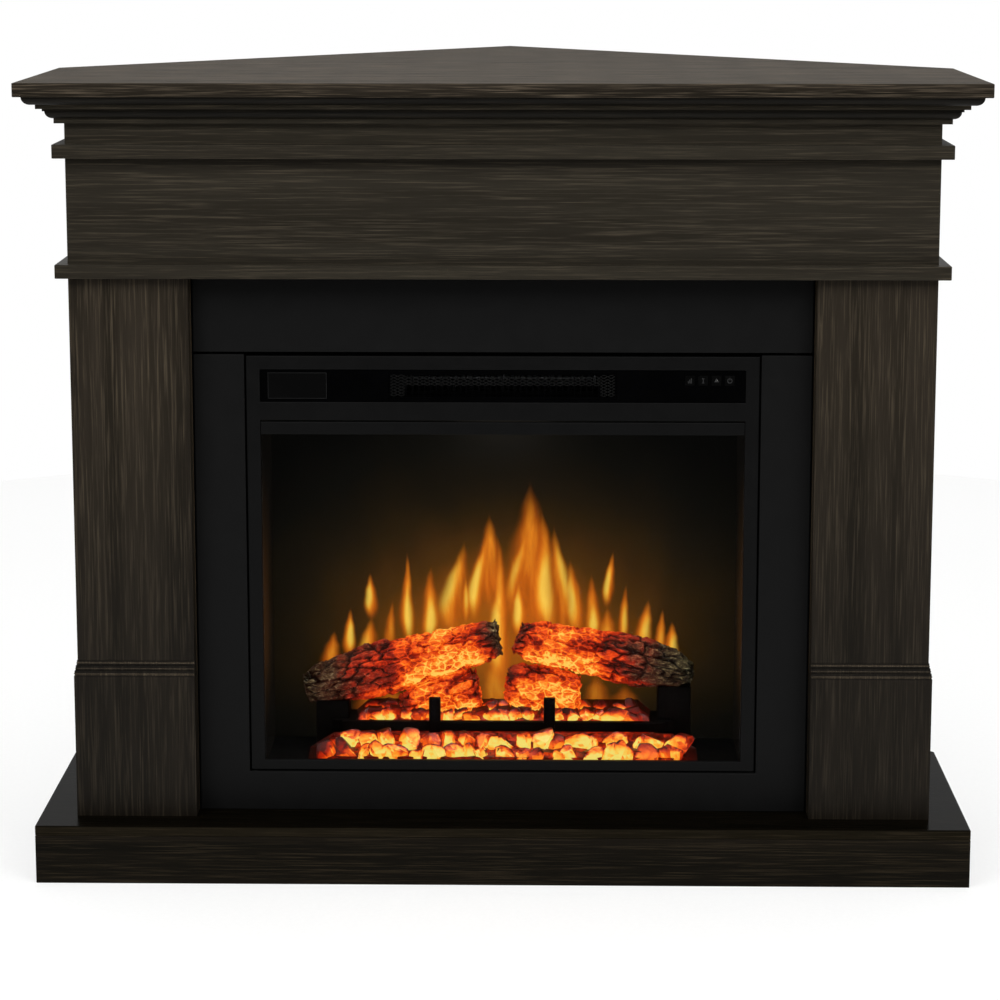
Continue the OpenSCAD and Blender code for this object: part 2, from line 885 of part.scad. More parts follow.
// Glossy side panels of the firebox
module firebox_sides() {
    color([0.05, 0.05, 0.05])
        mirrored()
            box([fire_half_w, bezel_back, floor_z],
                [fire_half_w + fire_side_t, mask_y + mask_t, ceiling_z]);
}

module flame_screen() {
    color([0.1, 0.08, 0.06, 0.9])
        box([-fire_half_w, screen_y, floor_z], [fire_half_w, screen_y + screen_t, ceiling_z]);
}

// Sheet with flame-shaped slots, each the overlap of two circles
module flame_mask() {
    half_h = mask_slot_h / 2;
    half_w = mask_slot_w / 2;
    arc_r = (half_h * half_h + half_w * half_w) / (2 * half_w);
    slot_z = spinner_z + 0.7 * half_h;
    slots = floor((fire_half_w - mask_slot_w) / mask_pitch);
    color([0.3, 0.3, 0.3])
        difference() {
            box([-fire_half_w, mask_y, floor_z], [fire_half_w, mask_y + mask_t, ceiling_z]);
            for (i = [-slots:slots])
                translate([i * mask_pitch, 0, 0])
                    intersection() {
                        rod_y(half_w - arc_r, mask_y - 1, mask_y + mask_t + 1, slot_z, arc_r);
                        rod_y(arc_r - half_w, mask_y - 1, mask_y + mask_t + 1, slot_z, arc_r);
                    }
        }
}

spinner_left = -inside_half_w + 2;
motor_x = inside_half_w - motor_w;
spinner_right = motor_x + 12;

// Shaft with pairs of bright blades, each pair turned a little further
module flame_spinner() {
    first = spinner_left + bush_w + 14;
    last = motor_x - 14;
    step = (last - first) / (blade_stations - 1);
    color([0.8, 0.8, 0.82]) {
        rod_x(spinner_left, spinner_right, spinner_y, spinner_z, spinner_shaft_r);
        for (i = [0:blade_stations - 1])
            translate([first + i * step, spinner_y, spinner_z])
                rotate([i * 67, 0, 0])
                    box([-spinner_blade_w / 2, -blade_t / 2, -blade_reach],
                        [spinner_blade_w / 2, blade_t / 2, blade_reach]);
    }
}

module spinner_bush() {
    color([0.7, 0.55, 0.3])
        difference() {
            rod_x(-inside_half_w, -inside_half_w + bush_w, spinner_y, spinner_z, bush_r);
            rod_x(spinner_left - 1, -inside_half_w + bush_w + 1, spinner_y, spinner_z,
                spinner_shaft_r + running_fit);
        }
}

module spinner_motor() {
    color([0.5, 0.5, 0.52])
        difference() {
            rod_x(motor_x, inside_half_w, spinner_y, spinner_z, motor_r);
            rod_x(motor_x - 1, spinner_right + 1, spinner_y, spinner_z, spinner_shaft_r + running_fit);
        }
}

// One light strip: a board on pegs, with its row of lights
module led_strip(half_w, y, width, z, lights) {
    box([-half_w, y - width / 2, z], [half_w, y + width / 2, z + board_t]);
    for (x = [-half_w + 10, half_w - 10])
        translate([x, y, floor_z]) cylinder(r = 2.5, h = z - floor_z + eps);
    for (i = [0:lights - 1])
        translate([(i - (lights - 1) / 2) * 2 * (half_w - 15) / (lights - 1), y, z + board_t - eps])
            translate([-2.5, -2.5, 0]) cube([5, 5, 1.2]);
}

module led_strips() {
    color([0.85, 0.85, 0.8]) {
        led_strip(fire_half_w - led_end, mask_y + 12, 14, floor_z + 5, 12);
        led_strip(ember_half_w - led_end, (ember_front + grate_y) / 2, 8, floor_z + 1, 10);
    }
}

/* ---- Log set: each log runs between two points, given as [x, height over the casing base] ---- */

log_left_ends = [[-245, 72], [-8, 135]];
log_right_ends = [[232, 99], [22, 135]];
small_left_ends = under(log_left_ends, 0.48, 0.83);
small_right_ends = under(log_right_ends, 0.63, 0.99);

// Ends of a small log that lies along the underside of a large one, between two shares of its length
function under(ends, share_0, share_1) =
    let (run = ends[1] - ends[0],
         down = [abs(run.y), -abs(run.x)] / norm(run),
         side = [sign(run.x) * down.x, down.y],
         drop = log_r + log_rise / 2 + small_log_r + small_log_rise / 2 + seat_gap)
    [for (share = [share_0, share_1]) ends[0] + share * run + drop * side];

// Lays children, drawn along +Z, from the first end to the second
module lay_log(ends, y) {
    run = ends[1] - ends[0];
    translate([ends[0].x, y, floor_z + ends[0].y])
        rotate([0, atan2(run.x, run.y), 0]) children();
}

function log_length(ends) = norm(ends[1] - ends[0]);

// Sets children twice, one over the other, so that a log is taller than deep
module stacked(rise) {
    for (side = [-1, 1])
        translate([side * rise / 2, 0, 0]) children();
}

// Seat of a log: its plain form with the seat gap around it
module log_seat(ends, y, r, rise) {
    lay_log(ends, y)
        stacked(rise)
            translate([0, 0, -seat_gap])
                cylinder(r = r + seat_gap, h = log_length(ends) + 2 * seat_gap);
}

// Log with chamfered ends and a short branch stub
module log(ends, y, r, rise, stub_at) {
    length = log_length(ends);
    chamfer = r * 0.18;
    lay_log(ends, y) {
        stacked(rise)
            rotate_extrude()
                polygon([
                    [0, 0],
                    [r - chamfer, 0],
                    [r, chamfer],
                    [r, length - chamfer],
                    [r - chamfer, length],
                    [0, length]
                ]);
        translate([0, 0, length * stub_at])
            rotate([70, 0, 20]) cylinder(r = r * 0.34, h = r * 1.16);
    }
}

module log_left() {
    color([0.35, 0.3, 0.22]) log(log_left_ends, log_y, log_r, log_rise, 0.34);
}

module log_right() {
    color([0.35, 0.3, 0.22]) log(log_right_ends, log_y, log_r, log_rise, 0.4);
}

module small_logs() {
    color([0.4, 0.25, 0.15]) {
        log(small_left_ends, log_y, small_log_r, small_log_rise, 0.5);
        log(small_right_ends, log_y, small_log_r, small_log_rise, 0.5);
    }
}

// The seats of all the logs, cut from what carries them
module log_seats() {
    log_seat(log_left_ends, log_y, log_r, log_rise);
    log_seat(log_right_ends, log_y, log_r, log_rise);
    log_seat(small_left_ends, log_y, small_log_r, small_log_rise);
    log_seat(small_right_ends, log_y, small_log_r, small_log_rise);
}

// Row of tilted lumps along X
module lumps(half_w, y, z, count) {
    pitch = 2 * half_w / count;
    for (i = [0:count - 1])
        translate([-half_w + (i + 0.5) * pitch, y, z])
            rotate([14 * sin(i * 77), 12 * sin(i * 53), 15 * sin(i * 97)])
                cube([pitch * 0.6, lump_size, lump_size * (0.8 + 0.2 * sin(i * 61))], center = true);
}

// Lower ember bed: a hollow cover over its light strip, which slopes up to the grate
module ember_bed_lower() {
    rear = grate_y - 1;
    wall = 3;
    front_h = 9;
    row_pitch = 1.6 * lump_size;
    slope = (grate_h - front_h) / (rear - ember_front);
    color([0.9, 0.35, 0.1])
        difference() {
            union() {
                along_x(-ember_half_w, ember_half_w)
                    polygon([
                        [ember_front, floor_z],
                        [ember_front, floor_z + front_h],
                        [rear, floor_z + grate_h],
                        [rear, floor_z]
                    ]);
                for (row = [0:2])
                    lumps(ember_half_w - lump_size * (row == 1 ? 1.8 : 0.9),
                        ember_front + lump_size + row * row_pitch,
                        floor_z + front_h + slope * (lump_size + row * row_pitch),
                        ember_lumps - (row == 1 ? 1 : 0));
            }
            box([-ember_half_w + 4 * wall, ember_front + wall, floor_z - 1],
                [ember_half_w - 4 * wall, rear - wall, floor_z + front_h - 0.8 * wall]);
            // Everything stays above the floor and clear of the grate
            box([-2 * ember_half_w, ember_front - 4 * lump_size, floor_z - 4 * lump_size],
                [2 * ember_half_w, rear + 4 * lump_size, floor_z]);
            box([-2 * ember_half_w, rear, floor_z - 1],
                [2 * ember_half_w, rear + 4 * lump_size, floor_z + 6 * lump_size]);
        }
}

// Upper ember bed between the grate and the flame screen, with seats for the logs
module ember_bed_upper() {
    half_w = grate_half_w - stand_w * 0.3;
    front = grate_y + grate_t + 1;
    color([0.9, 0.4, 0.12])
        difference() {
            union() {
                along_x(-half_w, half_w)
                    polygon([
                        [front, floor_z],
                        [front, floor_z + upper_bed_h],
                        [log_y, floor_z + upper_bed_h + 14],
                        [bed_rear, floor_z + upper_bed_h + 18],
                        [bed_rear, floor_z]
                    ]);
                lumps(half_w - lump_size, front + lump_size, floor_z + upper_bed_h + 3, ember_lumps - 3);
                lumps(half_w - 1.5 * lump_size, log_y - lump_size,
                    floor_z + upper_bed_h + 12, ember_lumps - 4);
            }
            log_seats();
            box([-2 * half_w, front - 2 * lump_size, floor_z],
                [2 * half_w, front, floor_z + 3 * upper_bed_h]);
        }
}

// Grate: a front bar on two stands that carry the outer ends of the large logs, and two uprights
module fire_grate() {
    stand_x0 = grate_half_w - stand_w * 0.2;
    bar_h = 12;
    upright_t = 6;
    color([0.07, 0.06, 0.06])
        difference() {
            union() {
                box([-grate_half_w, grate_y, grate_z], [grate_half_w, grate_y + grate_t, grate_z + bar_h]);
                for (x = [-left_upright_x, right_upright_x])
                    box([x - upright_w / 2, grate_y, grate_z],
                        [x + upright_w / 2, grate_y + upright_t, grate_z + upright_h]);
                mirrored()
                    box([stand_x0, grate_y, floor_z], [stand_x0 + stand_w, bed_rear, floor_z + stand_h]);
            }
            log_seats();
        }
}

/* ---- Heater ---- */

// Cross-flow wheel: a ring of blades between discs on a shaft
module blower_wheel() {
    half = blower_w / 2;
    disc_t = 2;
    color([0.75, 0.76, 0.78]) {
        rod_x(-housing_half_w - end_plate_t, blower_shaft_end, blower_y, blower_z, blower_shaft_r);
        for (x = [-half, -disc_t / 2, half - disc_t])
            rod_x(x, x + disc_t, blower_y, blower_z, blower_r);
        for (i = [0:blower_blades - 1])
            translate([0, blower_y, blower_z])
                rotate([i * 360 / blower_blades, 0, 0])
                    box([-half, -0.4, blower_r - blower_blade_d], [half, 0.4, blower_r]);
    }
}

// Housing: end plates, a curved back and a duct that leads forward to the outlet, with its motor
module blower_housing() {
    duct_half_h = outlet_h / 2 - 2;
    color([0.6, 0.6, 0.58]) {
        difference() {
            mirrored()
                box([housing_half_w, duct_front, loft_z],
                    [housing_half_w + end_plate_t, blower_y + housing_r + housing_t, blower_z + housing_r]);
            rod_x(-housing_half_w - 9, housing_half_w + 9, blower_y, blower_z, blower_shaft_r + running_fit);
        }
        // Curved back
        along_x(-housing_half_w, housing_half_w)
            difference() {
                translate([blower_y, blower_z]) circle(r = housing_r + housing_t);
                translate([blower_y, blower_z]) circle(r = housing_r);
                translate([blower_y - 2 * housing_r, blower_z - 2 * housing_r])
                    square([2 * housing_r, 4 * housing_r]);
                translate([blower_y, blower_z]) square([2 * housing_r, 2 * housing_r]);
            }
        // Duct floor and roof
        for (z = [console_mid_z - duct_half_h - housing_t, console_mid_z + duct_half_h])
            box([-housing_half_w - eps, duct_front, z],
                [housing_half_w + eps, blower_y - blower_r - 4, z + housing_t]);
        // Motor on the right-hand end plate
        difference() {
            rod_x(housing_half_w + end_plate_t - eps, housing_half_w + end_plate_t + fan_motor_w,
                blower_y, blower_z, fan_motor_r);
            rod_x(housing_half_w, blower_shaft_end + 1, blower_y, blower_z, blower_shaft_r + running_fit);
        }
    }
}

// Heating element: a frame of two ceramic bars with thin fins between them, standing in the duct
module heating_element() {
    half_h = outlet_h / 2 - 2;
    half_w = housing_half_w - 1;
    y0 = duct_front + 7;
    y1 = y0 + 16;
    color([0.7, 0.45, 0.3]) {
        for (z = [console_mid_z - half_h, console_mid_z + half_h - 4])
            box([-half_w, y0, z], [half_w, y1, z + 4]);
        for (i = [-12:12])
            box([i * 8.8 - 0.5, y0, console_mid_z - half_h + 4 - eps],
                [i * 8.8 + 0.5, y1, console_mid_z + half_h - 4 + eps]);
    }
}

// Power board on four pegs in the heater compartment, with its relays and a capacitor
module power_board() {
    x0 = -inside_half_w + 2 * bush_w;
    y0 = blower_y - bush_w;
    peg_inset = 6;
    board_z = loft_z + 5;
    relay = [20, 16, 15];
    relay_pitch = 1.5 * relay.x;
    color([0.1, 0.3, 0.15]) {
        box([x0, y0, board_z], [x0 + power_board_w, y0 + power_board_d, board_z + board_t]);
        for (x = [x0 + peg_inset, x0 + power_board_w - peg_inset])
            for (y = [y0 + peg_inset, y0 + power_board_d - peg_inset])
                translate([x, y, loft_z]) cylinder(r = 2.5, h = board_z - loft_z + eps);
        for (i = [0:1])
            translate([x0 + 2 * peg_inset + i * relay_pitch, y0 + 2 * peg_inset, board_z + board_t - eps])
                cube(relay);
        translate([x0 + power_board_w / 2, y0 + power_board_d * 0.7, board_z + board_t - eps])
            cylinder(r = 8, h = capacitor_h);
    }
}

top_board();
crown_front();
crown_returns();
frieze_board();
frieze_strip_front();
frieze_strip_returns();
waist_ledge_front();
waist_ledge_returns();
side_panel_left();
side_panel_right();
pilaster_left();
pilaster_right();
plinth_block_left();
plinth_block_right();
inner_panels();
base_board();
base_apron_front();
base_apron_sides();
back_frame();
insert_shelf();
surround_cleats();
cleat_screws();
header_panel();
surround_frame();
bezel_frame();
console_fascia();
display_window();
display_board();
outlet_grille();
key_brightness();
key_timer();
key_heat();
key_power();
key_board();
glass_pane();
glass_rail();
glass_clips();
casing_base();
casing_top();
casing_sides();
casing_back();
firebox_ceiling();
firebox_sides();
flame_screen();
flame_mask();
flame_spinner();
spinner_bush();
spinner_motor();
led_strips();
log_left();
log_right();
small_logs();
ember_bed_upper();
ember_bed_lower();
fire_grate();
blower_wheel();
blower_housing();
heating_element();
power_board();
cord_gland();
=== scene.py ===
"""Looks of a corner fireplace with an electric insert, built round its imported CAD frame.

Lengths in the classes are millimetres in the frame of the CAD model: X runs to the right, Y away from the
viewer and Z up. A piece is scaled to metres as it is handed over.
"""

import logging
import math
import random
from dataclasses import dataclass
from enum import Enum
from typing import Optional, Sequence, Union

import bmesh
import bpy
from mathutils import Matrix, Vector, noise


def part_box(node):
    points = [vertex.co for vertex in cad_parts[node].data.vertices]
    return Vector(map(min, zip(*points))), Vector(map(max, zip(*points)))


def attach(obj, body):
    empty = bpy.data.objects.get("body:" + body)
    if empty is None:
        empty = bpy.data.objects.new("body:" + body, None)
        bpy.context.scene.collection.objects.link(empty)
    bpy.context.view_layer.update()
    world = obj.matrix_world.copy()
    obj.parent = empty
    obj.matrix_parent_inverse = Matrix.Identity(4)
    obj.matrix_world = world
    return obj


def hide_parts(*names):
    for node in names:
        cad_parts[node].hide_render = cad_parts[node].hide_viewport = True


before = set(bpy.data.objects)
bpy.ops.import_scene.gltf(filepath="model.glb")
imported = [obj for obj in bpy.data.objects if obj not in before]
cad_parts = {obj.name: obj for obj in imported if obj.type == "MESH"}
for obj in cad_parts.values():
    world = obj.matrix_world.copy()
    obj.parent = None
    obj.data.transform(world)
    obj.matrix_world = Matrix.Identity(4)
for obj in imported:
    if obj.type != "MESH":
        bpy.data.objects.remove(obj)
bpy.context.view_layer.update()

LOG = logging.getLogger("fireplace")
MM = 0.001

Colour = tuple[float, float, float, float]
Span = tuple[float, float]
Point = tuple[float, float, float]
Stops = Sequence[tuple[float, Colour]]
Mesh = bmesh.types.BMesh
Node = bpy.types.Node
Socket = bpy.types.NodeSocket
Sockets = bpy.types.bpy_prop_collection
Feed = Union[Socket, float, Sequence[float]]
Inputs = dict[Union[str, int], Feed]
Layers = Sequence[bmesh.types.BMLayerItem]

WHITE = (1.0, 1.0, 1.0, 1.0)
PRINCIPLED = "ShaderNodeBsdfPrincipled"
# Highest level of painted light that the timber bands lay over the stain.
BRIGHTEST_PAINTED_LIGHT = 8.0
LOT_STEPS = (0.37, 0.53, 0.71)
WELD_REACH = 0.01
EDGE_STEPS = (
    ("weld", "WELD", {"merge_threshold": WELD_REACH * MM}),
    ("flat_faces", "DECIMATE", {"decimate_type": "DISSOLVE", "angle_limit": math.radians(1)}),
    ("soft_edges", "BEVEL", {"segments": 2, "limit_method": "ANGLE", "angle_limit": math.radians(32)}),
    ("shading", "WEIGHTED_NORMAL", {"keep_sharp": True}),
)


def tone(red: float, green: float, blue: float) -> Colour:
    """Turns a colour on the 0 to 255 scale of a screen into Blender's linear colour.

    Args:
        red: Red, 0 to 255.
        green: Green, 0 to 255.
        blue: Blue, 0 to 255.

    Returns:
        The linear colour with full alpha.
    """

    def linear(value: float) -> float:
        """Undoes the screen curve for one channel."""
        share = value / 255
        return share / 12.92 if share <= 0.04045 else ((share + 0.055) / 1.055) ** 2.4

    return (linear(red), linear(green), linear(blue), 1.0)


def grey(level: float) -> Colour:
    """A grey on the 0 to 255 scale of a screen: see tone."""
    return tone(level, level, level)


def tones(*stops: tuple[float, float, float, float]) -> Stops:
    """Stops of a colour ramp, each given as its position and its red, green and blue: see tone."""
    return tuple((position, tone(*colour)) for position, *colour in stops)


def ease(value: float, low: float, high: float) -> float:
    """Smooth step of a value from 0 at the low limit to 1 at the high one."""
    share = min(1.0, max(0.0, (value - low) / (high - low)))
    return share * share * (3 - 2 * share)


def along(stops: Sequence[Span], share: float) -> float:
    """Reads a value off a list of stops, with an eased run between two neighbours.

    Args:
        stops: Pairs of a share and its value, in rising order of the share.
        share: The share to read at.

    Returns:
        The value there.
    """
    for (start, first), (end, second) in zip(stops, stops[1:]):
        if share <= end:
            return first + (second - first) * ease(share, start, end)
    return stops[-1][1]


class Grain(Enum):
    """Direction of the wood grain, as the scale of the pattern along X, Y and Z. Chip board has none."""

    ACROSS = (0.02, 1.0, 1.0)
    DEEP = (1.0, 0.02, 1.0)
    UPRIGHT = (1.0, 1.0, 0.02)
    CHIP = (2.0, 2.0, 2.0)


class Effect(Enum):
    """Shared surface effects, each built once as a node group: its name, its inputs and its outputs."""

    TIMBER = ("timber_grain", ("Vector", "Dark", "Mid", "Light"), ("Color", "Height", "Gloss"))
    SPECKLE = ("coat_speckle", ("Vector", "Scale", "Base", "Fleck"), ("Color", "Height", "Patch"))
    CRACKS = ("glow_cracks", ("Vector", "Scale"), ("Crack", "Grit"))


def adjust(item: bpy.types.bpy_struct, settings: dict[str, object]) -> None:
    """Sets properties of one of Blender's items by their names."""
    for name, value in settings.items():
        setattr(item, name, value)


class Bench:
    """Places and joins the nodes of one shader tree."""

    def __init__(self, tree: bpy.types.NodeTree) -> None:
        """Takes the tree to work on."""
        self.tree = tree

    def put(self, kind: str, inputs: Optional[Inputs] = None, **settings: object) -> Node:
        """Adds one node.

        Args:
            kind: Blender's name of the node type.
            inputs: Values or sockets for its inputs, by name or by number.
            **settings: Properties of the node.

        Returns:
            The node.
        """
        node = self.tree.nodes.new(kind)
        adjust(node, settings)
        for key, value in (inputs or {}).items():
            if isinstance(value, bpy.types.NodeSocket):
                self.tree.links.new(value, node.inputs[key])
            else:
                node.inputs[key].default_value = value
        return node

    def place(self, scale: Point = (1, 1, 1), shift: Point = (0, 0, 0)) -> Socket:
        """Object coordinates, scaled along each axis and then shifted, in metres."""
        source = self.put("ShaderNodeTexCoord").outputs["Object"]
        return self.put("ShaderNodeMapping", {"Vector": source, "Scale": scale, "Location": shift}).outputs[0]

    def attribute(self, name: str) -> Socket:
        """The value of a mesh attribute of the piece."""
        return self.put("ShaderNodeAttribute", attribute_name=name).outputs["Fac"]

    def noise(self, vector: Feed, scale: Feed, detail: float = 4, roughness: float = 0.55,
              distortion: float = 0) -> Socket:
        """A noise texture: its coordinates, scale, octaves, share of each finer octave and stir."""
        return self.put("ShaderNodeTexNoise", {"Vector": vector, "Scale": scale, "Detail": detail,
                        "Roughness": roughness, "Distortion": distortion}).outputs["Fac"]

    def span(self, value: Feed, low: float, high: float, to_low: float = 0, to_high: float = 1,
             run: str = "LINEAR") -> Socket:
        """Maps a value from one range to another, held at the ends, by Blender's name of the run between."""
        limits = {"Value": value, "From Min": low, "From Max": high, "To Min": to_low, "To Max": to_high}
        return self.put("ShaderNodeMapRange", limits, interpolation_type=run).outputs["Result"]

    def ramp(self, value: Feed, stops: Stops) -> Socket:
        """A colour ramp.

        Args:
            value: The value that reads the ramp.
            stops: Positions and colours, in rising order.

        Returns:
            The colour socket.
        """
        node = self.put("ShaderNodeValToRGB", {"Fac": value})
        bar = node.color_ramp.elements
        while len(bar) < len(stops):
            bar.new(1.0)
        for element, (position, colour) in zip(bar, stops):
            element.position = position
            element.color = colour
        return node.outputs["Color"]

    def blend(self, share: Feed, first: Feed, second: Feed, mode: str = "MIX") -> Socket:
        """Mixes a share of the second colour into the first, by Blender's name of the mixing rule."""
        inputs = {0: share, 6: first, 7: second}
        return self.put("ShaderNodeMix", inputs, data_type="RGBA", blend_type=mode).outputs[2]

    def math(self, rule: str, first: Feed, second: Feed = 0.5) -> Socket:
        """One sum on two values, by Blender's name of the operation."""
        return self.put("ShaderNodeMath", {0: first, 1: second}, operation=rule).outputs[0]

    def plus(self, first: Feed, second: Feed) -> Socket:
        """The sum of two values."""
        return self.math("ADD", first, second)

    def times(self, first: Feed, second: Feed) -> Socket:
        """One value times another."""
        return self.math("MULTIPLY", first, second)

    def relief(self, height: Feed, strength: float, depth: float) -> Socket:
        """A bump from a height of 0 to 1, with its strength and its depth in millimetres."""
        return self.put("ShaderNodeBump", {
            "Height": height, "Strength": strength, "Distance": depth * MM}).outputs["Normal"]


def cleared(owner: Union[bpy.types.Material, bpy.types.World]) -> Bench:
    """Turns on the nodes of a material or a world and takes them all away.

    Args:
        owner: The material or the world.

    Returns:
        A bench for its tree.
    """
    owner.use_nodes = True
    owner.node_tree.nodes.clear()
    return Bench(owner.node_tree)


def looked_at(bench: Bench, bent_share: Feed) -> Socket:
    """Tells the camera's rays from the others.

    Args:
        bench: The bench of the material or the world.
        bent_share: What the rays count that gloss or glass has bent.

    Returns:
        The value socket: 1 for the camera's own rays and the share for bent ones.
    """
    path = bench.put("ShaderNodeLightPath").outputs
    bent = bench.math("MAXIMUM", path["Is Glossy Ray"], path["Is Transmission Ray"])
    return bench.math("MAXIMUM", path["Is Camera Ray"], bench.times(bent, bent_share))


class EffectShop:
    """Builds each shared effect once and places it in materials.

    A socket that isn't among the kinds holds a number.
    """

    KINDS = {"Vector": "NodeSocketVector"} | dict.fromkeys(
        ("Dark", "Mid", "Light", "Base", "Fleck", "Color"), "NodeSocketColor")

    def __init__(self) -> None:
        """Starts with no effect built."""
        self.built: dict[Effect, bpy.types.NodeTree] = {}

    def place(self, bench: Bench, effect: Effect, inputs: Inputs) -> Sockets:
        """Places one effect in a material.

        Args:
            bench: The material's bench.
            effect: Which effect.
            inputs: Values for the effect's inputs.

        Returns:
            The effect's outputs.
        """
        if effect not in self.built:
            self.built[effect] = self.build(effect)
        return bench.put("ShaderNodeGroup", inputs, node_tree=self.built[effect]).outputs

    def build(self, effect: Effect) -> bpy.types.NodeTree:
        """Makes the node group of one effect.

        Args:
            effect: Which effect.

        Returns:
            The node group.
        """
        name, *sides = effect.value
        group = bpy.data.node_groups.new(name, "ShaderNodeTree")
        for way, sockets in zip(("INPUT", "OUTPUT"), sides):
            for socket in sockets:
                kind = self.KINDS.get(socket, "NodeSocketFloat")
                group.interface.new_socket(name=socket, in_out=way, socket_type=kind)
        bench = Bench(group)
        draw = {Effect.TIMBER: self.timber, Effect.SPECKLE: self.speckle, Effect.CRACKS: self.cracks}[effect]
        bench.put("NodeGroupOutput", draw(bench, bench.put("NodeGroupInput").outputs))
        return group

    @staticmethod
    def timber(bench: Bench, given: Sockets) -> dict[str, Socket]:
        """Stained wood: soft bands, fine drawn-out streaks and dark pores.

        Args:
            bench: The group's bench.
            given: The group's inputs.

        Returns:
            Colour, height and gloss.
        """
        vector = given["Vector"]
        band = bench.noise(vector, 48, 4, 0.55)
        streak = bench.noise(vector, 620, 3, 0.6)
        hair = bench.noise(vector, 1150, 2, 0.6)
        drift = bench.noise(vector, 6, 2, 0.5)
        base = bench.blend(bench.span(band, 0.36, 0.64), given["Dark"], given["Mid"])
        lit = bench.blend(bench.span(streak, 0.5, 0.7, 0, 0.8), base, given["Light"])
        pore = bench.span(hair, 0.56, 0.7)
        pored = bench.blend(bench.times(pore, 0.65), lit, given["Dark"])
        shade = bench.ramp(drift, [(0.25, (0.82, 0.82, 0.82, 1)), (0.75, WHITE)])
        height = bench.math("SUBTRACT", bench.times(streak, 0.7), bench.times(pore, 0.5))
        return {"Color": bench.blend(1.0, pored, shade, "MULTIPLY"), "Height": height,
                "Gloss": bench.math("MULTIPLY_ADD", pore, 0.4)}

    @staticmethod
    def speckle(bench: Bench, given: Sockets) -> dict[str, Socket]:
        """A coated or cast surface: fine flecks, and wider patches where it is handled or dusty.

        Args:
            bench: The group's bench.
            given: The group's inputs.

        Returns:
            Colour, height and patch.
        """
        vector, scale = given["Vector"], given["Scale"]
        fine = bench.noise(vector, scale, 3, 0.6)
        wide = bench.noise(vector, bench.times(scale, 0.03), 4, 0.6, 0.4)
        mixed = bench.plus(bench.span(fine, 0.42, 0.66, 0, 0.6), bench.span(wide, 0.4, 0.7, 0, 0.4))
        return {"Color": bench.blend(mixed, given["Base"], given["Fleck"]), "Height": fine,
                "Patch": bench.span(wide, 0.35, 0.68)}

    @staticmethod
    def cracks(bench: Bench, given: Sockets) -> dict[str, Socket]:
        """A stirred net of fine cracks, and the grit between them.

        Args:
            bench: The group's bench.
            given: The group's inputs.

        Returns:
            Crack and grit.
        """
        vector, scale = given["Vector"], given["Scale"]
        stir = bench.put("ShaderNodeTexNoise", {
            "Vector": vector, "Scale": bench.times(scale, 0.6), "Detail": 3}).outputs["Color"]
        pulled = bench.put("ShaderNodeVectorMath", {0: stir, 1: (0.006,) * 3, 2: vector},
                           operation="MULTIPLY_ADD").outputs[0]
        net = bench.put("ShaderNodeTexVoronoi", {"Vector": pulled, "Scale": scale},
                        feature="DISTANCE_TO_EDGE").outputs["Distance"]
        grit = bench.noise(vector, bench.times(scale, 2.2), 4, 0.65)
        return {"Crack": bench.span(net, 0.0, 0.14, 1, 0, "SMOOTHSTEP"), "Grit": grit}


EFFECTS = EffectShop()


class FinishShelf:
    """Keeps one material for each finish."""

    def __init__(self) -> None:
        """Starts with an empty shelf."""
        self.materials: dict[str, bpy.types.Material] = {}

    def take(self, finish: "Finish") -> bpy.types.Material:
        """The material of a finish, built when it is first asked for.

        Args:
            finish: The finish.

        Returns:
            The material.
        """
        if finish.name not in self.materials:
            material = bpy.data.materials.new(finish.name)
            bench = cleared(material)
            bench.put("ShaderNodeOutputMaterial", {"Surface": finish.surface(bench).outputs[0]})
            self.materials[finish.name] = material
        return self.materials[finish.name]


@dataclass(frozen=True)
class Finish:
    """A named finish. Each kind of finish says how its surface is made."""

    name: str

    def surface(self, bench: Bench) -> Node:
        """Makes the shader on the material's bench."""
        raise NotImplementedError


@dataclass(frozen=True)
class TimberFinish(Finish):
    """Stained wood with its grain along one axis. Each lot shifts the pattern, as another board would.

    The bands are heights in millimetres, each with the level of painted light and shade laid over the stain
    there.
    Unpainted is 1. A ramp holds nothing above 1, so the levels are divided by the brightest level and
    multiplied again.
    """

    dark: Colour
    mid: Colour
    light: Colour
    grain: Grain
    lot: float = 0
    roughness: Span = (0.4, 0.56)
    relief: float = 0.2
    specular: float = 0.09
    bands: tuple[Span, ...] = ()

    def painted_shading(self, bench: Bench, colour: Socket) -> Socket:
        """Lays the painted light and shade of the bands over the stain.

        Args:
            bench: The material's bench.
            colour: The stained wood.

        Returns:
            The colour socket.
        """
        low, high = self.bands[0][0], self.bands[-1][0]
        height = bench.put("ShaderNodeSeparateXYZ", {"Vector": bench.place()}).outputs["Z"]
        stops = [((z - low) / (high - low), (*(level / BRIGHTEST_PAINTED_LIGHT,) * 3, 1)) for z, level in self.bands]
        level = bench.times(bench.ramp(bench.span(height, low * MM, high * MM), stops), BRIGHTEST_PAINTED_LIGHT)
        return bench.blend(1.0, colour, level, "MULTIPLY")

    def surface(self, bench: Bench) -> Node:
        """Makes the shader.

        Args:
            bench: The material's bench.

        Returns:
            The shader node.
        """
        vector = bench.place(self.grain.value, tuple(self.lot * step for step in LOT_STEPS))
        wood = EFFECTS.place(bench, Effect.TIMBER, {
            "Vector": vector, "Dark": self.dark, "Mid": self.mid, "Light": self.light})
        # Painted shade and painted light by height, laid over the stain.
        colour = self.painted_shading(bench, wood["Color"]) if self.bands else wood["Color"]
        return bench.put(PRINCIPLED, {
            "Base Color": colour, "Roughness": bench.span(wood["Gloss"], 0, 1, *self.roughness),
            "Normal": bench.relief(wood["Height"], self.relief, 0.5), "Specular IOR Level": self.specular})


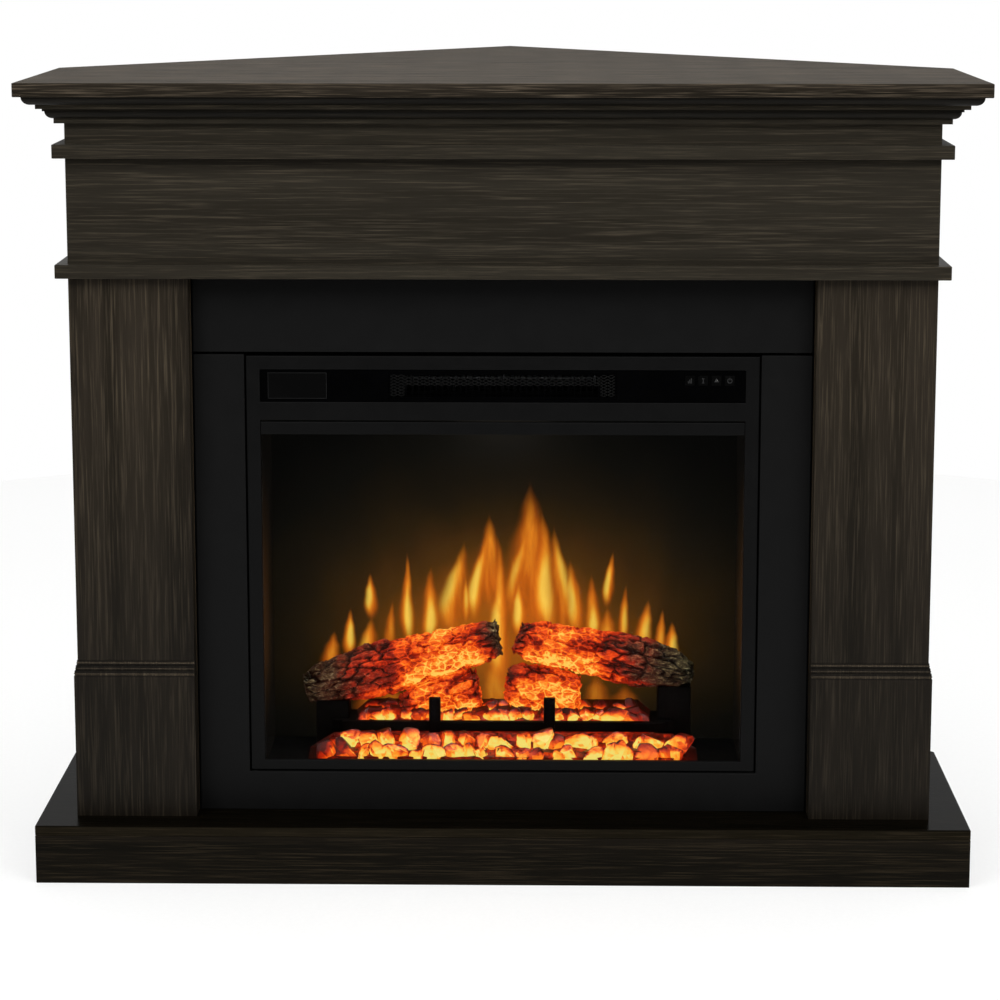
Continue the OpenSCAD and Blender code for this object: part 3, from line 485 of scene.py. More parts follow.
@dataclass(frozen=True)
class CoatFinish(Finish):
    """Paint, plastic, rubber, glaze or metal: two tones in flecks, with patches in its gloss."""

    base: Colour
    fleck: Colour
    scale: float
    roughness: Span
    relief: float = 0.1
    specular: float = 0.5
    metallic: float = 0
    depth: float = 0.2
    stretch: Point = (1, 1, 1)

    def surface(self, bench: Bench) -> Node:
        """Makes the shader.

        Args:
            bench: The material's bench.

        Returns:
            The shader node.
        """
        coat = EFFECTS.place(bench, Effect.SPECKLE, {
            "Vector": bench.place(self.stretch), "Scale": self.scale, "Base": self.base, "Fleck": self.fleck})
        return bench.put(PRINCIPLED, {
            "Base Color": coat["Color"], "Roughness": bench.span(coat["Patch"], 0, 1, *self.roughness),
            "Normal": bench.relief(coat["Height"], self.relief, self.depth), "Metallic": self.metallic,
            "Specular IOR Level": self.specular})


@dataclass(frozen=True)
class GlassFinish(Finish):
    """Clear glass with a low-glare face and faint smears."""

    tint: Colour
    smear: Span = (0.0, 0.015)
    index: float = 1.03

    def surface(self, bench: Bench) -> Node:
        """Makes the shader.

        Args:
            bench: The material's bench.

        Returns:
            The shader node.
        """
        wipe = EFFECTS.place(bench, Effect.SPECKLE, {"Vector": bench.place(), "Scale": 260.0})["Patch"]
        return bench.put(PRINCIPLED, {
            "Base Color": self.tint, "Roughness": bench.span(wipe, 0, 1, *self.smear),
            "Transmission Weight": 1.0, "IOR": self.index})


@dataclass(frozen=True)
class LampFinish(Finish):
    """A part that gives light, with a fine grain in it."""

    base: Colour
    glow: Colour
    strength: float

    def surface(self, bench: Bench) -> Node:
        """Makes the shader.

        Args:
            bench: The material's bench.

        Returns:
            The shader node.
        """
        face = EFFECTS.place(bench, Effect.SPECKLE, {
            "Vector": bench.place(), "Scale": 1500.0, "Base": self.base, "Fleck": self.glow})
        return bench.put(PRINCIPLED, {
            "Base Color": face["Color"], "Roughness": bench.span(face["Patch"], 0, 1, 0.3, 0.5),
            "Emission Color": face["Color"], "Emission Strength": self.strength})


@dataclass(frozen=True)
class ScreenFinish(Finish):
    """A smoked wall or screen with a painted warm glow for the light the flames throw on it, fading round a
    centre.

    The reach is the glow's size along each axis, and the sink is how much sooner it fades below the centre.
    """

    base: Colour
    centre: Point
    reach: Point
    painted_glow: Stops
    roughness: Span = (0.4, 0.6)
    specular: float = 0.03
    sink: float = 1.6

    def surface(self, bench: Bench) -> Node:
        """Makes the shader.

        Args:
            bench: The material's bench.

        Returns:
            The shader node.
        """
        spot = bench.place(tuple(1 / size for size in self.reach),
                           tuple(-at / size for at, size in zip(self.centre, self.reach)))
        apart = bench.put("ShaderNodeSeparateXYZ", {"Vector": spot}).outputs
        below = bench.math("MAXIMUM", apart["Z"], bench.times(apart["Z"], -self.sink))
        spot = bench.put("ShaderNodeCombineXYZ", {"X": apart["X"], "Y": apart["Y"], "Z": below}).outputs[0]
        distance = bench.put("ShaderNodeVectorMath", {"Vector": spot}, operation="LENGTH").outputs["Value"]
        smoke = bench.noise(bench.place((1, 0.2, 0.5)), 9, 4, 0.55, 0.6)
        level = bench.plus(distance, bench.span(smoke, 0.3, 0.7, -0.05, 0.05))
        return bench.put(PRINCIPLED, {
            "Base Color": self.base, "Roughness": bench.span(smoke, 0, 1, *self.roughness),
            "Specular IOR Level": self.specular, "Emission Color": bench.ramp(level, self.painted_glow),
            "Emission Strength": 1.0})


@dataclass(frozen=True)
class FlameFinish(Finish):
    """The projected flames, painted as glow: a see-through veil of orange with yellow cores, both written on
    the piece.
    """

    def surface(self, bench: Bench) -> Node:
        """Makes the shader.

        Args:
            bench: The material's bench.

        Returns:
            The shader node.
        """
        core, veil = bench.attribute("core"), bench.attribute("veil")
        lick = bench.noise(bench.place((1, 0.1, 0.22)), 85, 3, 0.5, 0.4)
        level = bench.plus(core, bench.span(lick, 0.3, 0.7, -0.1, 0.1))
        colour = bench.ramp(level, tones(
            (0.0, 104, 48, 8), (0.2, 160, 73, 12), (0.4, 206, 100, 22), (0.6, 236, 138, 34),
            (0.8, 250, 180, 58), (1.0, 255, 206, 80)))
        alpha = bench.times(veil, bench.span(lick, 0.3, 0.7, 0.8, 1.0))
        return bench.put(PRINCIPLED, {
            "Base Color": (0, 0, 0, 1), "Roughness": 1.0, "Specular IOR Level": 0.0, "Alpha": alpha,
            "Emission Color": colour, "Emission Strength": 1.0})


@dataclass(frozen=True)
class BarkFinish(Finish):
    """Log resin: grey and brown bark whose cracks and plates carry a painted glow where the glow level is
    high.
    """

    def surface(self, bench: Bench) -> Node:
        """Makes the shader.

        Args:
            bench: The material's bench.

        Returns:
            The shader node.
        """
        glow_level, crack = bench.attribute("glow_level"), bench.attribute("crack")
        fine = EFFECTS.place(bench, Effect.CRACKS, {"Vector": bench.place((0.7, 1, 1)), "Scale": 128.0})
        grit = bench.noise(bench.place((0.4, 1, 1)), 300, 5, 0.66, 0.6)
        patch = bench.noise(bench.place(), 62, 4, 0.6, 0.5)
        bark = bench.ramp(grit, tones(
            (0.3, 14, 10, 6), (0.46, 52, 44, 28), (0.58, 92, 82, 54), (0.68, 158, 150, 116)))
        # Red-brown scorch tint in the bark, laid where the painted glow is.
        scorch_and_glow_tint = bench.blend(bench.span(glow_level, 0.02, 0.45, 0, 0.94), bark, tone(40, 10, 6))
        colour = bench.blend(bench.times(crack, 0.95), scorch_and_glow_tint, tone(5, 3, 2))
        seam = bench.math("MAXIMUM", fine["Crack"], bench.times(crack, 0.2))
        ground = bench.plus(bench.span(patch, 0.38, 0.6, 0.4, 0.8), bench.span(grit, 0.35, 0.65, -0.12, 0.12))
        split = bench.times(crack, bench.span(glow_level, 0.45, 0.95, 0.88, 0.26))
        ground = bench.times(ground, bench.math("SUBTRACT", 1.0, split))
        veins = bench.times(seam, bench.span(glow_level, 0.3, 0.9, 0.04, 0.4))
        level = bench.times(bench.plus(ground, veins), bench.span(glow_level, 0.02, 1.0, 0, 1.2))
        level = bench.plus(level, bench.span(glow_level, 1.12, 1.5, 0, 0.5))
        glow = bench.ramp(level, tones(
            (0.0, 0, 0, 0), (0.12, 52, 8, 3), (0.28, 142, 24, 6), (0.44, 222, 64, 12), (0.62, 248, 104, 22),
            (0.82, 254, 150, 42), (1.0, 255, 200, 86)))
        height = bench.math("SUBTRACT", grit, bench.times(fine["Crack"], 0.7))
        return bench.put(PRINCIPLED, {
            "Base Color": colour, "Roughness": bench.span(grit, 0.3, 0.7, 0.55, 0.85),
            "Normal": bench.relief(height, 1.0, 1.8), "Specular IOR Level": 0.12,
            "Emission Color": glow, "Emission Strength": 1.0})


@dataclass(frozen=True)
class EmberFinish(Finish):
    """Clear resin embers with a painted glow as from below: pale gold on broken faces, dark red shade on rims
    and in gaps.
    """

    def surface(self, bench: Bench) -> Node:
        """Makes the shader.

        Args:
            bench: The material's bench.

        Returns:
            The shader node.
        """
        glow_level, core, facet = (bench.attribute(name) for name in ("glow_level", "core", "facet"))
        fine = EFFECTS.place(bench, Effect.CRACKS, {"Vector": bench.place(), "Scale": 62.0})
        cloud = bench.noise(bench.place(), 90, 4, 0.6, 0.7)
        level = bench.plus(bench.times(core, facet), bench.span(cloud, 0.34, 0.66, -0.16, 0.1))
        level = bench.math("SUBTRACT", level, bench.times(fine["Crack"], 0.12))
        level = bench.times(level, glow_level)
        glow = bench.ramp(level, tones(
            (0.0, 8, 1, 0), (0.16, 78, 10, 4), (0.3, 178, 36, 8), (0.46, 240, 92, 20), (0.62, 250, 148, 38),
            (0.78, 246, 194, 70), (1.0, 236, 216, 106)))
        return bench.put(PRINCIPLED, {
            # Base colour lightens where the painted glow is.
            "Base Color": bench.blend(bench.times(core, glow_level), tone(8, 3, 2), tone(60, 24, 10)),
            "Roughness": bench.span(fine["Grit"], 0, 1, 0.25, 0.5),
            "Normal": bench.relief(fine["Grit"], 0.4, 0.8), "Specular IOR Level": 0.25,
            "Emission Color": glow, "Emission Strength": 1.0})


@dataclass(frozen=True)
class FloorFinish(Finish):
    """Pale paint that the camera sees partly as plain white, so that the floor runs into the backdrop."""

    paint: Stops
    white: float

    def surface(self, bench: Bench) -> Node:
        """Makes the shader.

        Args:
            bench: The material's bench.

        Returns:
            The shader node.
        """
        paint = bench.put(PRINCIPLED, {
            "Base Color": bench.ramp(bench.noise(bench.place(), 180, 3), self.paint), "Roughness": 0.8,
            "Specular IOR Level": 0.1})
        white = bench.put("ShaderNodeEmission", {"Color": WHITE, "Strength": 1.0})
        share = bench.times(looked_at(bench, 1.0), self.white)
        return bench.put("ShaderNodeMixShader", {0: share, 1: paint.outputs[0], 2: white.outputs[0]})


class Palette:
    """Every finish of the fireplace, and of the floor under it."""

    STAIN = {"dark": tone(35, 31, 24), "mid": tone(45, 41, 33), "light": tone(72, 65, 53)}
    UPRIGHT_STAIN = {"dark": tone(31, 26, 19), "mid": tone(43, 37, 29), "light": tone(74, 65, 52)}
    # Base stain, darkened further as painted shade near the floor.
    LOW_STAIN_AND_SHADE = {"dark": tone(11, 9, 5), "mid": tone(21, 17, 11), "light": tone(44, 37, 26)}
    # Painted shade under the shelf and in the crown's hollows, and a painted highlight on its bead.
    CROWN_PAINTED_SHADE = ((892, 1.0), (897, 1.0), (898.2, 0.34), (905.4, 0.34), (906.6, 0.5), (909, 0.5),
                   (910, 1.5), (913.8, 1.5), (914.9, 0.34), (924, 0.4))
    # Painted light on the frieze's top band, which lifts the shade under the crown.
    FRIEZE_PAINTED_LIGHT = ((714, 1.0), (852, 1.0), (868, 1.3), (892, 1.3))
    # Painted shade that darkens the pilasters and side panels towards the floor.
    PILASTER_PAINTED_SHADE = ((241, 0.46), (340, 0.6), (620, 1.02), (714, 1.02))
    # Painted shade in the reeds' valleys and lower down, and painted highlights on the reed crests.
    PLINTH_PAINTED_SHADE = ((70, 0.44), (238, 0.5), (240.2, 0.5), (240.7, 0.25), (241.6, 0.3), (242.6, 2.0),
                    (244.0, 2.0), (245.0, 0.3), (248.6, 0.3), (249.4, 1.5), (250.2, 1.5), (251.0, 0.25),
                    (255.2, 0.25), (256.1, 2.0), (256.9, 2.0), (257.8, 0.25), (259, 0.25))

    @classmethod
    def board(cls, name: str, grain: Grain, lot: float, bands: tuple[Span, ...] = ()) -> TimberFinish:
        """Stained mantel wood for one board: its grain, its lot and its bands of painted light and shade."""
        stain = cls.UPRIGHT_STAIN if grain is Grain.UPRIGHT else cls.STAIN
        return TimberFinish(name, **stain, grain=grain, lot=lot, bands=bands)

    @classmethod
    def base(cls, name: str, grain: Grain, lot: float) -> TimberFinish:
        """Stained wood of the base, darkened further as painted shade near the floor, for one board: see
        board.
        """
        return TimberFinish(name, **cls.LOW_STAIN_AND_SHADE, grain=grain, lot=lot, specular=0.04)

    SHELF_TOP = TimberFinish("shelf_wood", tone(32, 28, 22), tone(54, 48, 40), tone(100, 89, 75),
                             Grain.ACROSS, 1, roughness=(0.45, 0.7), relief=0.5, specular=0.026)
    # Near-black top, as painted shade in front of the firebox; its bands lay painted light on the front edge.
    BASE_TOP = TimberFinish("base_top_wood", tone(5, 4, 2), tone(9, 7, 4), tone(20, 16, 10),
                            Grain.ACROSS, 9, roughness=(0.2, 0.3), relief=0.08, specular=0.014,
                            bands=((58, 4.0), (68.6, 4.0), (69.5, 1.0), (70, 1.0)))
    RAW = TimberFinish("raw_board", tone(118, 98, 73), tone(136, 113, 84), tone(158, 136, 104),
                       Grain.CHIP, 3, roughness=(0.7, 0.85), relief=0.3)
    RAW_UPRIGHT = TimberFinish("raw_board_upright", tone(108, 88, 64), tone(132, 109, 80), tone(156, 132, 99),
                               Grain.UPRIGHT, 5, roughness=(0.7, 0.85), relief=0.2)
    SURROUND = CoatFinish("surround_black", grey(13), grey(17), 1400, (0.5, 0.58), relief=0.12, specular=0.07)
    BEZEL = CoatFinish("bezel_black", grey(9), grey(13), 1400, (0.42, 0.5), specular=0.07)
    CONSOLE = CoatFinish("console_gloss", grey(2), tone(4, 4, 5), 500, (0.08, 0.14), relief=0.01,
                         specular=0.02)
    DISPLAY = CoatFinish("display_tint", grey(7), grey(10), 600, (0.1, 0.18), relief=0.01, specular=0.04)
    # Grey raised rim round the display that stands in for the highlight on its edge.
    HIGHLIGHT_TRIM = CoatFinish("display_highlight_trim", grey(26), grey(32), 1200, (0.3, 0.4), specular=0.1)
    GRILLE = CoatFinish("grille_mesh", grey(22), tone(32, 32, 31), 1800, (0.4, 0.5), specular=0.04)
    CIRCUIT = CoatFinish("circuit_board", tone(8, 52, 26), tone(26, 96, 52), 420, (0.35, 0.5), relief=0.5,
                         depth=0.1, stretch=(1, 1, 3))
    KEY = CoatFinish("key_black", grey(4), grey(7), 900, (0.25, 0.35), specular=0.04)
    MARK = CoatFinish("key_mark", grey(30), grey(38), 2500, (0.5, 0.6))
    GLASS = GlassFinish("clear_glass", WHITE)
    STEEL = CoatFinish("clip_steel", tone(44, 43, 42), tone(60, 59, 57), 500, (0.35, 0.5), metallic=1.0,
                       stretch=(0.1, 1, 1))
    ZINC = CoatFinish("screw_zinc", tone(160, 162, 166), tone(192, 194, 196), 900, (0.3, 0.45), metallic=1.0)
    CASING = CoatFinish("casing_black", grey(6), grey(13), 700, (0.5, 0.65), relief=0.25, specular=0.1)
    # Side walls with a painted reflection of the flames' glow.
    FIRE_SIDE = ScreenFinish("fire_gloss", grey(3), (0.0, -0.335, 0.285), (20.0, 0.1, 0.2), tones(
        (0.0, 41, 24, 8), (0.3, 38, 22, 8), (0.6, 22, 13, 5), (1.0, 6, 5, 4)), (0.2, 0.3), specular=0.3)
    # Screen with the flames' glow painted on it.
    SCREEN = ScreenFinish("screen_smoke", grey(2), (0.0, -0.23, 0.24), (0.405, 20.0, 0.3), tones(
        (0.12, 146, 80, 18), (0.27, 116, 64, 14), (0.4, 70, 43, 9), (0.5, 49, 31, 7), (0.57, 37, 25, 6),
        (0.64, 26, 18, 6), (0.72, 18, 13, 5), (0.84, 9, 8, 5), (1.0, 4, 4, 3)))
    MASK = CoatFinish("mask_grey", tone(120, 120, 118), tone(140, 140, 138), 800, (0.5, 0.6))
    FOIL = CoatFinish("spinner_foil", tone(196, 198, 200), tone(228, 230, 232), 120, (0.12, 0.3), relief=0.5,
                      metallic=1.0, depth=0.4)
    BRASS = CoatFinish("brass", tone(176, 138, 66), tone(204, 166, 90), 700, (0.25, 0.4), metallic=1.0)
    MOTOR = CoatFinish("motor_steel", tone(128, 130, 134), tone(160, 162, 164), 600, (0.3, 0.45),
                       metallic=1.0)
    LED = LampFinish("led_white", tone(190, 180, 150), tone(255, 214, 150), strength=0.2)
    FLAME = FlameFinish("flame_light")
    BARK = BarkFinish("log_bark")
    EMBER = EmberFinish("ember")
    GRATE = CoatFinish("grate_black", tone(3, 2, 2), tone(8, 6, 4), 600, (0.5, 0.7), relief=0.4,
                       specular=0.03, depth=0.4)
    ALUMINIUM = CoatFinish("blower_alu", tone(172, 174, 178), tone(204, 206, 208), 500, (0.3, 0.45),
                           metallic=1.0, stretch=(0.15, 1, 1))
    # Zinc darkened to near black as painted shade, so the space behind the grille reads dark.
    HOUSING = CoatFinish("housing_zinc", tone(12, 12, 13), tone(20, 20, 21), 60, (0.35, 0.5), relief=0.15,
                         metallic=1.0)
    # Ceramic darkened to near black as painted shade behind the grille.
    CERAMIC = CoatFinish("ceramic", grey(4), tone(7, 7, 6), 700, (0.55, 0.7), relief=0.3, specular=0.02)
    # Dark felt that stands in for the shade in the gaps round the insert.
    GAP_SHADE_FELT = CoatFinish("gap_shade_felt", grey(8), grey(15), 2200, (0.85, 0.95), relief=0.6, specular=0.02)
    RUBBER = CoatFinish("gland_rubber", grey(18), grey(28), 900, (0.6, 0.75), relief=0.3)
    FLOOR = FloorFinish("floor_pale", tones((0.3, 232, 232, 231), (0.7, 238, 238, 237)), white=0.62)


SHELF = FinishShelf()


def dress(names: Sequence[str], finish: Finish, edge: float = 0.0) -> None:
    """Gives CAD nodes their finish and, where asked, softened edges.

    Args:
        names: The nodes.
        finish: Their finish.
        edge: Width of the softened edges in millimetres, or 0 for none.
    """
    material = SHELF.take(finish)
    for name in names:
        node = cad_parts[name]
        for slot in node.material_slots:
            slot.material = material
        if edge:
            for step, kind, settings in EDGE_STEPS:
                adjust(node.modifiers.new(step, kind), settings)
            node.modifiers["soft_edges"].width = edge * MM
        LOG.info("dressed %s with %s", name, finish.name)


def shown(bm: Mesh, name: str, finish: Finish) -> bpy.types.Object:
    """Puts a mesh in the scene.

    Args:
        bm: The mesh, in metres, which is freed.
        name: Name of its object.
        finish: Its finish.

    Returns:
        The object.
    """
    mesh = bpy.data.meshes.new(name)
    bm.to_mesh(mesh)
    bm.free()
    mesh.materials.append(SHELF.take(finish))
    item = bpy.data.objects.new(name, mesh)
    bpy.context.scene.collection.objects.link(item)
    return item


def hand_over(bm: Mesh, name: str, finish: Finish, body: str,
              replaces: Sequence[str] = (), smooth: bool = True, closed: bool = True) -> None:
    """Makes a shown piece of a mesh drawn in millimetres.

    Args:
        bm: The mesh, which is freed.
        name: Name of the piece.
        finish: Its finish.
        body: The CAD body that it rides on.
        replaces: CAD nodes that it stands for.
        smooth: Whether its faces are shaded smoothly.
        closed: Whether it is a closed shell, whose faces are turned outwards.
    """
    bmesh.ops.scale(bm, vec=(MM, MM, MM), verts=bm.verts)
    if closed:
        bmesh.ops.recalc_face_normals(bm, faces=bm.faces)
    for face in bm.faces:
        face.smooth = smooth
    piece = shown(bm, name, finish)
    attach(piece, body)
    if replaces:
        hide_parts(*replaces)
    LOG.info("made %s on %s, %d faces", name, body, len(piece.data.polygons))


def thicken(bm: Mesh, faces: Sequence[bmesh.types.BMFace], depth: float) -> None:
    """Pulls flat faces out along Y into a solid of a given depth."""
    pulled = bmesh.ops.extrude_face_region(bm, geom=list(faces))["geom"]
    bmesh.ops.translate(bm, verts=[v for v in pulled if isinstance(v, bmesh.types.BMVert)], vec=(0, depth, 0))


def point_layers(bm: Mesh, *names: str) -> Layers:
    """Adds number layers to the points of a mesh.

    Args:
        bm: The mesh.
        *names: Names of the layers.

    Returns:
        The layers, taken once all of them are there.
    """
    for name in names:
        bm.verts.layers.float.new(name)
    return [bm.verts.layers.float[name] for name in names]


def plate(bm: Mesh, low: Span, high: Span, y: float) -> list[bmesh.types.BMFace]:
    """Adds a flat upright rectangle.

    Args:
        bm: The mesh.
        low: X and Z of its lower left corner.
        high: X and Z of its upper right corner.
        y: Where it stands.

    Returns:
        Its face, in a list.
    """
    made = bmesh.ops.create_grid(bm, x_segments=1, y_segments=1, size=0.5)["verts"]
    for vert in made:
        across, up = vert.co.x + 0.5, vert.co.y + 0.5
        vert.co = (low[0] + (high[0] - low[0]) * across, y, low[1] + (high[1] - low[1]) * up)
    bm.normal_update()
    return list(made[0].link_faces)


def ring_plate(bm: Mesh, low: Span, high: Span, y: float, width: float, depth: float) -> None:
    """Adds a flat rectangular ring with some depth.

    Args:
        bm: The mesh.
        low: X and Z of its lower left corner.
        high: X and Z of its upper right corner.
        y: Where it stands.
        width: Width of its sides.
        depth: Its depth along Y.
    """
    inner = plate(bm, low, high, y)
    ring = bmesh.ops.inset_region(bm, faces=inner, thickness=width, use_boundary=True, use_even_offset=True)
    bmesh.ops.delete(bm, geom=inner, context="FACES")
    thicken(bm, ring["faces"], depth)


def block(bm: Mesh, low: Point, high: Point) -> None:
    """Adds a box between its lowest and its highest corner.

    Args:
        bm: The mesh.
        low: Lowest corner.
        high: Highest corner.
    """
    middle = Matrix.Translation([(a + b) / 2 for a, b in zip(low, high)])
    size = Matrix.Diagonal((*(b - a for a, b in zip(low, high)), 1))
    bmesh.ops.create_cube(bm, size=1, matrix=middle @ size)


@dataclass
class Mantel:
    """The stained wood mantel, its base and the raw boards behind it."""

    board_edge: float = 1.0
    trim_edge: float = 0.7
    fine_edge: float = 0.35

    def build(self) -> None:
        """Dresses the boards, each with a pattern of its own."""
        across, deep, upright = Grain.ACROSS, Grain.DEEP, Grain.UPRIGHT
        board, base = Palette.board, Palette.base
        crown, uprights = Palette.CROWN_PAINTED_SHADE, Palette.PILASTER_PAINTED_SHADE
        wide, trim, fine = self.board_edge, self.trim_edge, self.fine_edge
        dress(["top_board"], Palette.SHELF_TOP, wide)
        dress(["crown_front"], board("crown_wood", across, 2, crown), fine)
        dress(["crown_returns"], board("crown_return_wood", deep, 3, crown), fine)
        dress(["frieze_board"], board("frieze_wood", across, 4, Palette.FRIEZE_PAINTED_LIGHT), trim)
        dress(["frieze_strip_front"], board("strip_wood", across, 5), trim)
        dress(["waist_ledge_front"], board("ledge_wood", across, 6), trim)
        dress(["frieze_strip_returns", "waist_ledge_returns"], board("return_wood", deep, 7), trim)
        for side, lot in (("left", 1), ("right", 2)):
            dress([f"pilaster_{side}"], board(f"{side}_pilaster_wood", upright, lot, uprights), trim)
            plinth = board(f"{side}_plinth_wood", upright, lot + 2, Palette.PLINTH_PAINTED_SHADE)
            dress([f"plinth_block_{side}"], plinth, fine)
            dress([f"side_panel_{side}"], board(f"{side}_panel_wood", upright, lot + 4, uprights), trim)
        dress(["base_board"], Palette.BASE_TOP, wide)
        dress(["base_apron_front"], base("apron_wood", across, 8), trim)
        dress(["base_apron_sides"], base("apron_return_wood", deep, 2), trim)
        dress(["back_frame", "insert_shelf"], Palette.RAW, wide)
        # Cleats dressed black like the surround, which also stands in for the shade in the gap beside it.
        dress(["surround_cleats"], Palette.SURROUND, wide)
        dress(["inner_panels"], Palette.RAW_UPRIGHT, trim)
        dress(["cleat_screws"], Palette.ZINC)


@dataclass
class Surround:
    """The black surround and the front frame of the insert, with its glass.

    Dark felt fills the gaps round the insert and stands in for the shade there. Its ring lies round the
    opening. From there a strip runs out to each end of the header joint, and another strip, given by its two
    corners at the right, lines each side of the reveal.
    """

    frame_edge: float = 0.9
    glass_edge: float = 0.5
    clip_edge: float = 0.4
    felt_front: float = -338.9
    felt_depth: float = 0.8
    felt_width: float = 14.5
    opening: tuple[Span, Span] = ((-310.5, 104.0), (310.5, 630.5))
    joint_end: float = 341.5
    reveal: tuple[Point, Point] = ((361.1, -356.8, 70.3), (361.9, -339.4, 739.7))

    def build(self) -> None:
        """Dresses the surround, the bezel and the glass."""
        dress(["surround_frame", "header_panel"], Palette.SURROUND, self.frame_edge)
        dress(["bezel_frame", "glass_rail"], Palette.BEZEL, self.frame_edge)
        dress(["glass_pane"], Palette.GLASS, self.glass_edge)
        dress(["glass_clips"], Palette.STEEL, self.clip_edge)
        self.gap_shade_felt()

    def gap_shade_felt(self) -> None:
        """Makes the dark felt that stands in for shade in the gaps: a ring round the insert, strips behind
        the header joint and in the reveal.
        """
        bm = bmesh.new()
        ring_plate(bm, *self.opening, self.felt_front, self.felt_width, self.felt_depth)
        right, top = self.opening[1]
        low, high = self.reveal
        for side in (-1, 1):
            near, far = sorted((side * right, side * self.joint_end))
            strip = plate(bm, (near, top - self.felt_width), (far, top), self.felt_front)
            thicken(bm, strip, self.felt_depth)
            near, far = sorted((side * low[0], side * high[0]))
            block(bm, (near, *low[1:]), (far, *high[1:]))
        hand_over(bm, "gap_shade_felt", Palette.GAP_SHADE_FELT, "fireplace", smooth=False)


@dataclass
class Console:
    """The glossy console: display, outlet with its diamond mesh, and four keys with raised marks.

    The mesh is a band across the outlet and a column at each end of it. A diamond is given by its width and
    its height, the power mark's ring by its width and depth and by where it starts and how far it turns.
    """

    panel_edge: float = 0.3
    fine_edge: float = 0.2
    key_edge: float = 0.5
    outlet_rim: float = 3.2
    mesh_front: float = -352.4
    mesh_depth: float = 0.8
    column_width: float = 17.2
    wire: float = 0.5
    band: Span = (584.0, 594.8)
    diamond: Span = (8.6, 1.8)
    slack: float = 0.1
    trim_rim: float = 1.4
    trim_width: float = 0.5
    trim_lift: float = 0.15
    mark_size: float = 3.0
    mark_lift: float = 0.12
    mark_seat: float = 0.02
    mark_line: float = 0.8
    bar_pitch: float = 1.7
    foot: Span = (2.6, 0.6)
    ring_line: Span = (0.7, 0.14)
    ring_turn: Span = (118, 304)
    ring_steps: int = 22

    def build(self) -> None:
        """Dresses the console and makes its mesh, trim and marks."""
        dress(["console_fascia"], Palette.CONSOLE, self.panel_edge)
        dress(["display_window"], Palette.DISPLAY, self.panel_edge)
        dress(["outlet_grille"], Palette.CONSOLE, self.fine_edge)
        dress(["key_brightness", "key_timer", "key_heat", "key_power"], Palette.KEY, self.key_edge)
        dress(["display_board", "key_board"], Palette.CIRCUIT, self.fine_edge)
        self.outlet_mesh()
        self.display_highlight_trim()
        self.marks()

    def zigzag(self, bm: Mesh, left: float, right: float, row: int) -> None:
        """Adds one zigzag wire of the outlet mesh, which meets the next one at its peaks.

        Args:
            bm: The mesh.
            left: X of its left end.
            right: X of its right end.
            row: Its row, counted from the foot of the band.
        """
        period, step = self.diamond
        steps = max(2, round((right - left) / (period / 2)))
        height = self.band[0] + (row + 0.5) * step
        strip = bmesh.ops.create_grid(bm, x_segments=steps, y_segments=1, size=0.5)["verts"]
        for vert in strip:
            share = vert.co.x + 0.5
            side = step / 2 if (round(share * steps) + row) % 2 else -step / 2
            vert.co = (left + (right - left) * share, self.mesh_front, height + side + vert.co.y * self.wire)
        thicken(bm, {face for vert in strip for face in vert.link_faces}, self.mesh_depth)

    def outlet_mesh(self) -> None:
        """Makes the diamond mesh: a column at each end of the outlet and a band across it."""
        low, high = (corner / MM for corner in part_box("outlet_grille"))
        left, right = low.x + self.outlet_rim, high.x - self.outlet_rim
        bottom, top = low.z + self.outlet_rim, high.z - self.outlet_rim
        bm = bmesh.new()
        foot, head = self.band
        step = self.diamond[1]
        for row in range(int((bottom - foot) / step), int((top - foot) / step)):
            for start in (left, right - self.column_width):
                self.zigzag(bm, start, start + self.column_width, row)
            if 0 <= row * step < head - foot - self.slack:
                self.zigzag(bm, left + self.column_width, right - self.column_width, row)
        hand_over(bm, "outlet_mesh", Palette.GRILLE, "fireplace", smooth=False)

    def display_highlight_trim(self) -> None:
        """Makes the thin raised grey line round the display, a painted highlight on its edge."""
        low, high = (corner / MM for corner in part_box("display_window"))
        bm = bmesh.new()
        rim = self.trim_rim
        ring_plate(bm, (low.x + rim, low.z + rim), (high.x - rim, high.z - rim), low.y, self.trim_width,
                   -self.trim_lift)
        hand_over(bm, "display_highlight_trim", Palette.HIGHLIGHT_TRIM, "fireplace", smooth=False)

    def marks(self) -> None:
        """Makes the raised marks, each on its own key: bars, a bar, a triangle and a ring with a stroke."""
        for key, draw in (("brightness", self.bars), ("timer", self.bar), ("heat", self.triangle),
                          ("power", self.ring)):
            low, high = (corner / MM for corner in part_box(f"key_{key}"))
            bm = bmesh.new()
            draw(bm)
            middle = ((low.x + high.x) / 2, low.y, (low.z + high.z) / 2)
            bmesh.ops.translate(bm, verts=bm.verts, vec=middle)
            hand_over(bm, f"{key}_mark", Palette.MARK, f"{key}_key", smooth=False)

    def stroke(self, bm: Mesh, x: float, z: float, width: float, height: float) -> None:
        """Adds one upright stroke of a mark round a point."""
        block(bm, (x - width / 2, -self.mark_lift, z - height / 2),
              (x + width / 2, self.mark_seat, z + height / 2))

    def bars(self, bm: Mesh) -> None:
        """Three bars that rise to the right.

        Args:
            bm: The mesh.
        """
        for index in range(3):
            height = self.mark_size * (0.8 + 0.55 * index)
            self.stroke(bm, (index - 1) * self.bar_pitch, height / 2 - self.mark_size, self.mark_line, height)

    def bar(self, bm: Mesh) -> None:
        """One bar between two short feet, as on a timer key.

        Args:
            bm: The mesh.
        """
        self.stroke(bm, 0, 0, self.mark_line, self.mark_size * 1.7)
        for side in (-1, 1):
            self.stroke(bm, 0, side * self.mark_size * 0.85, *self.foot)

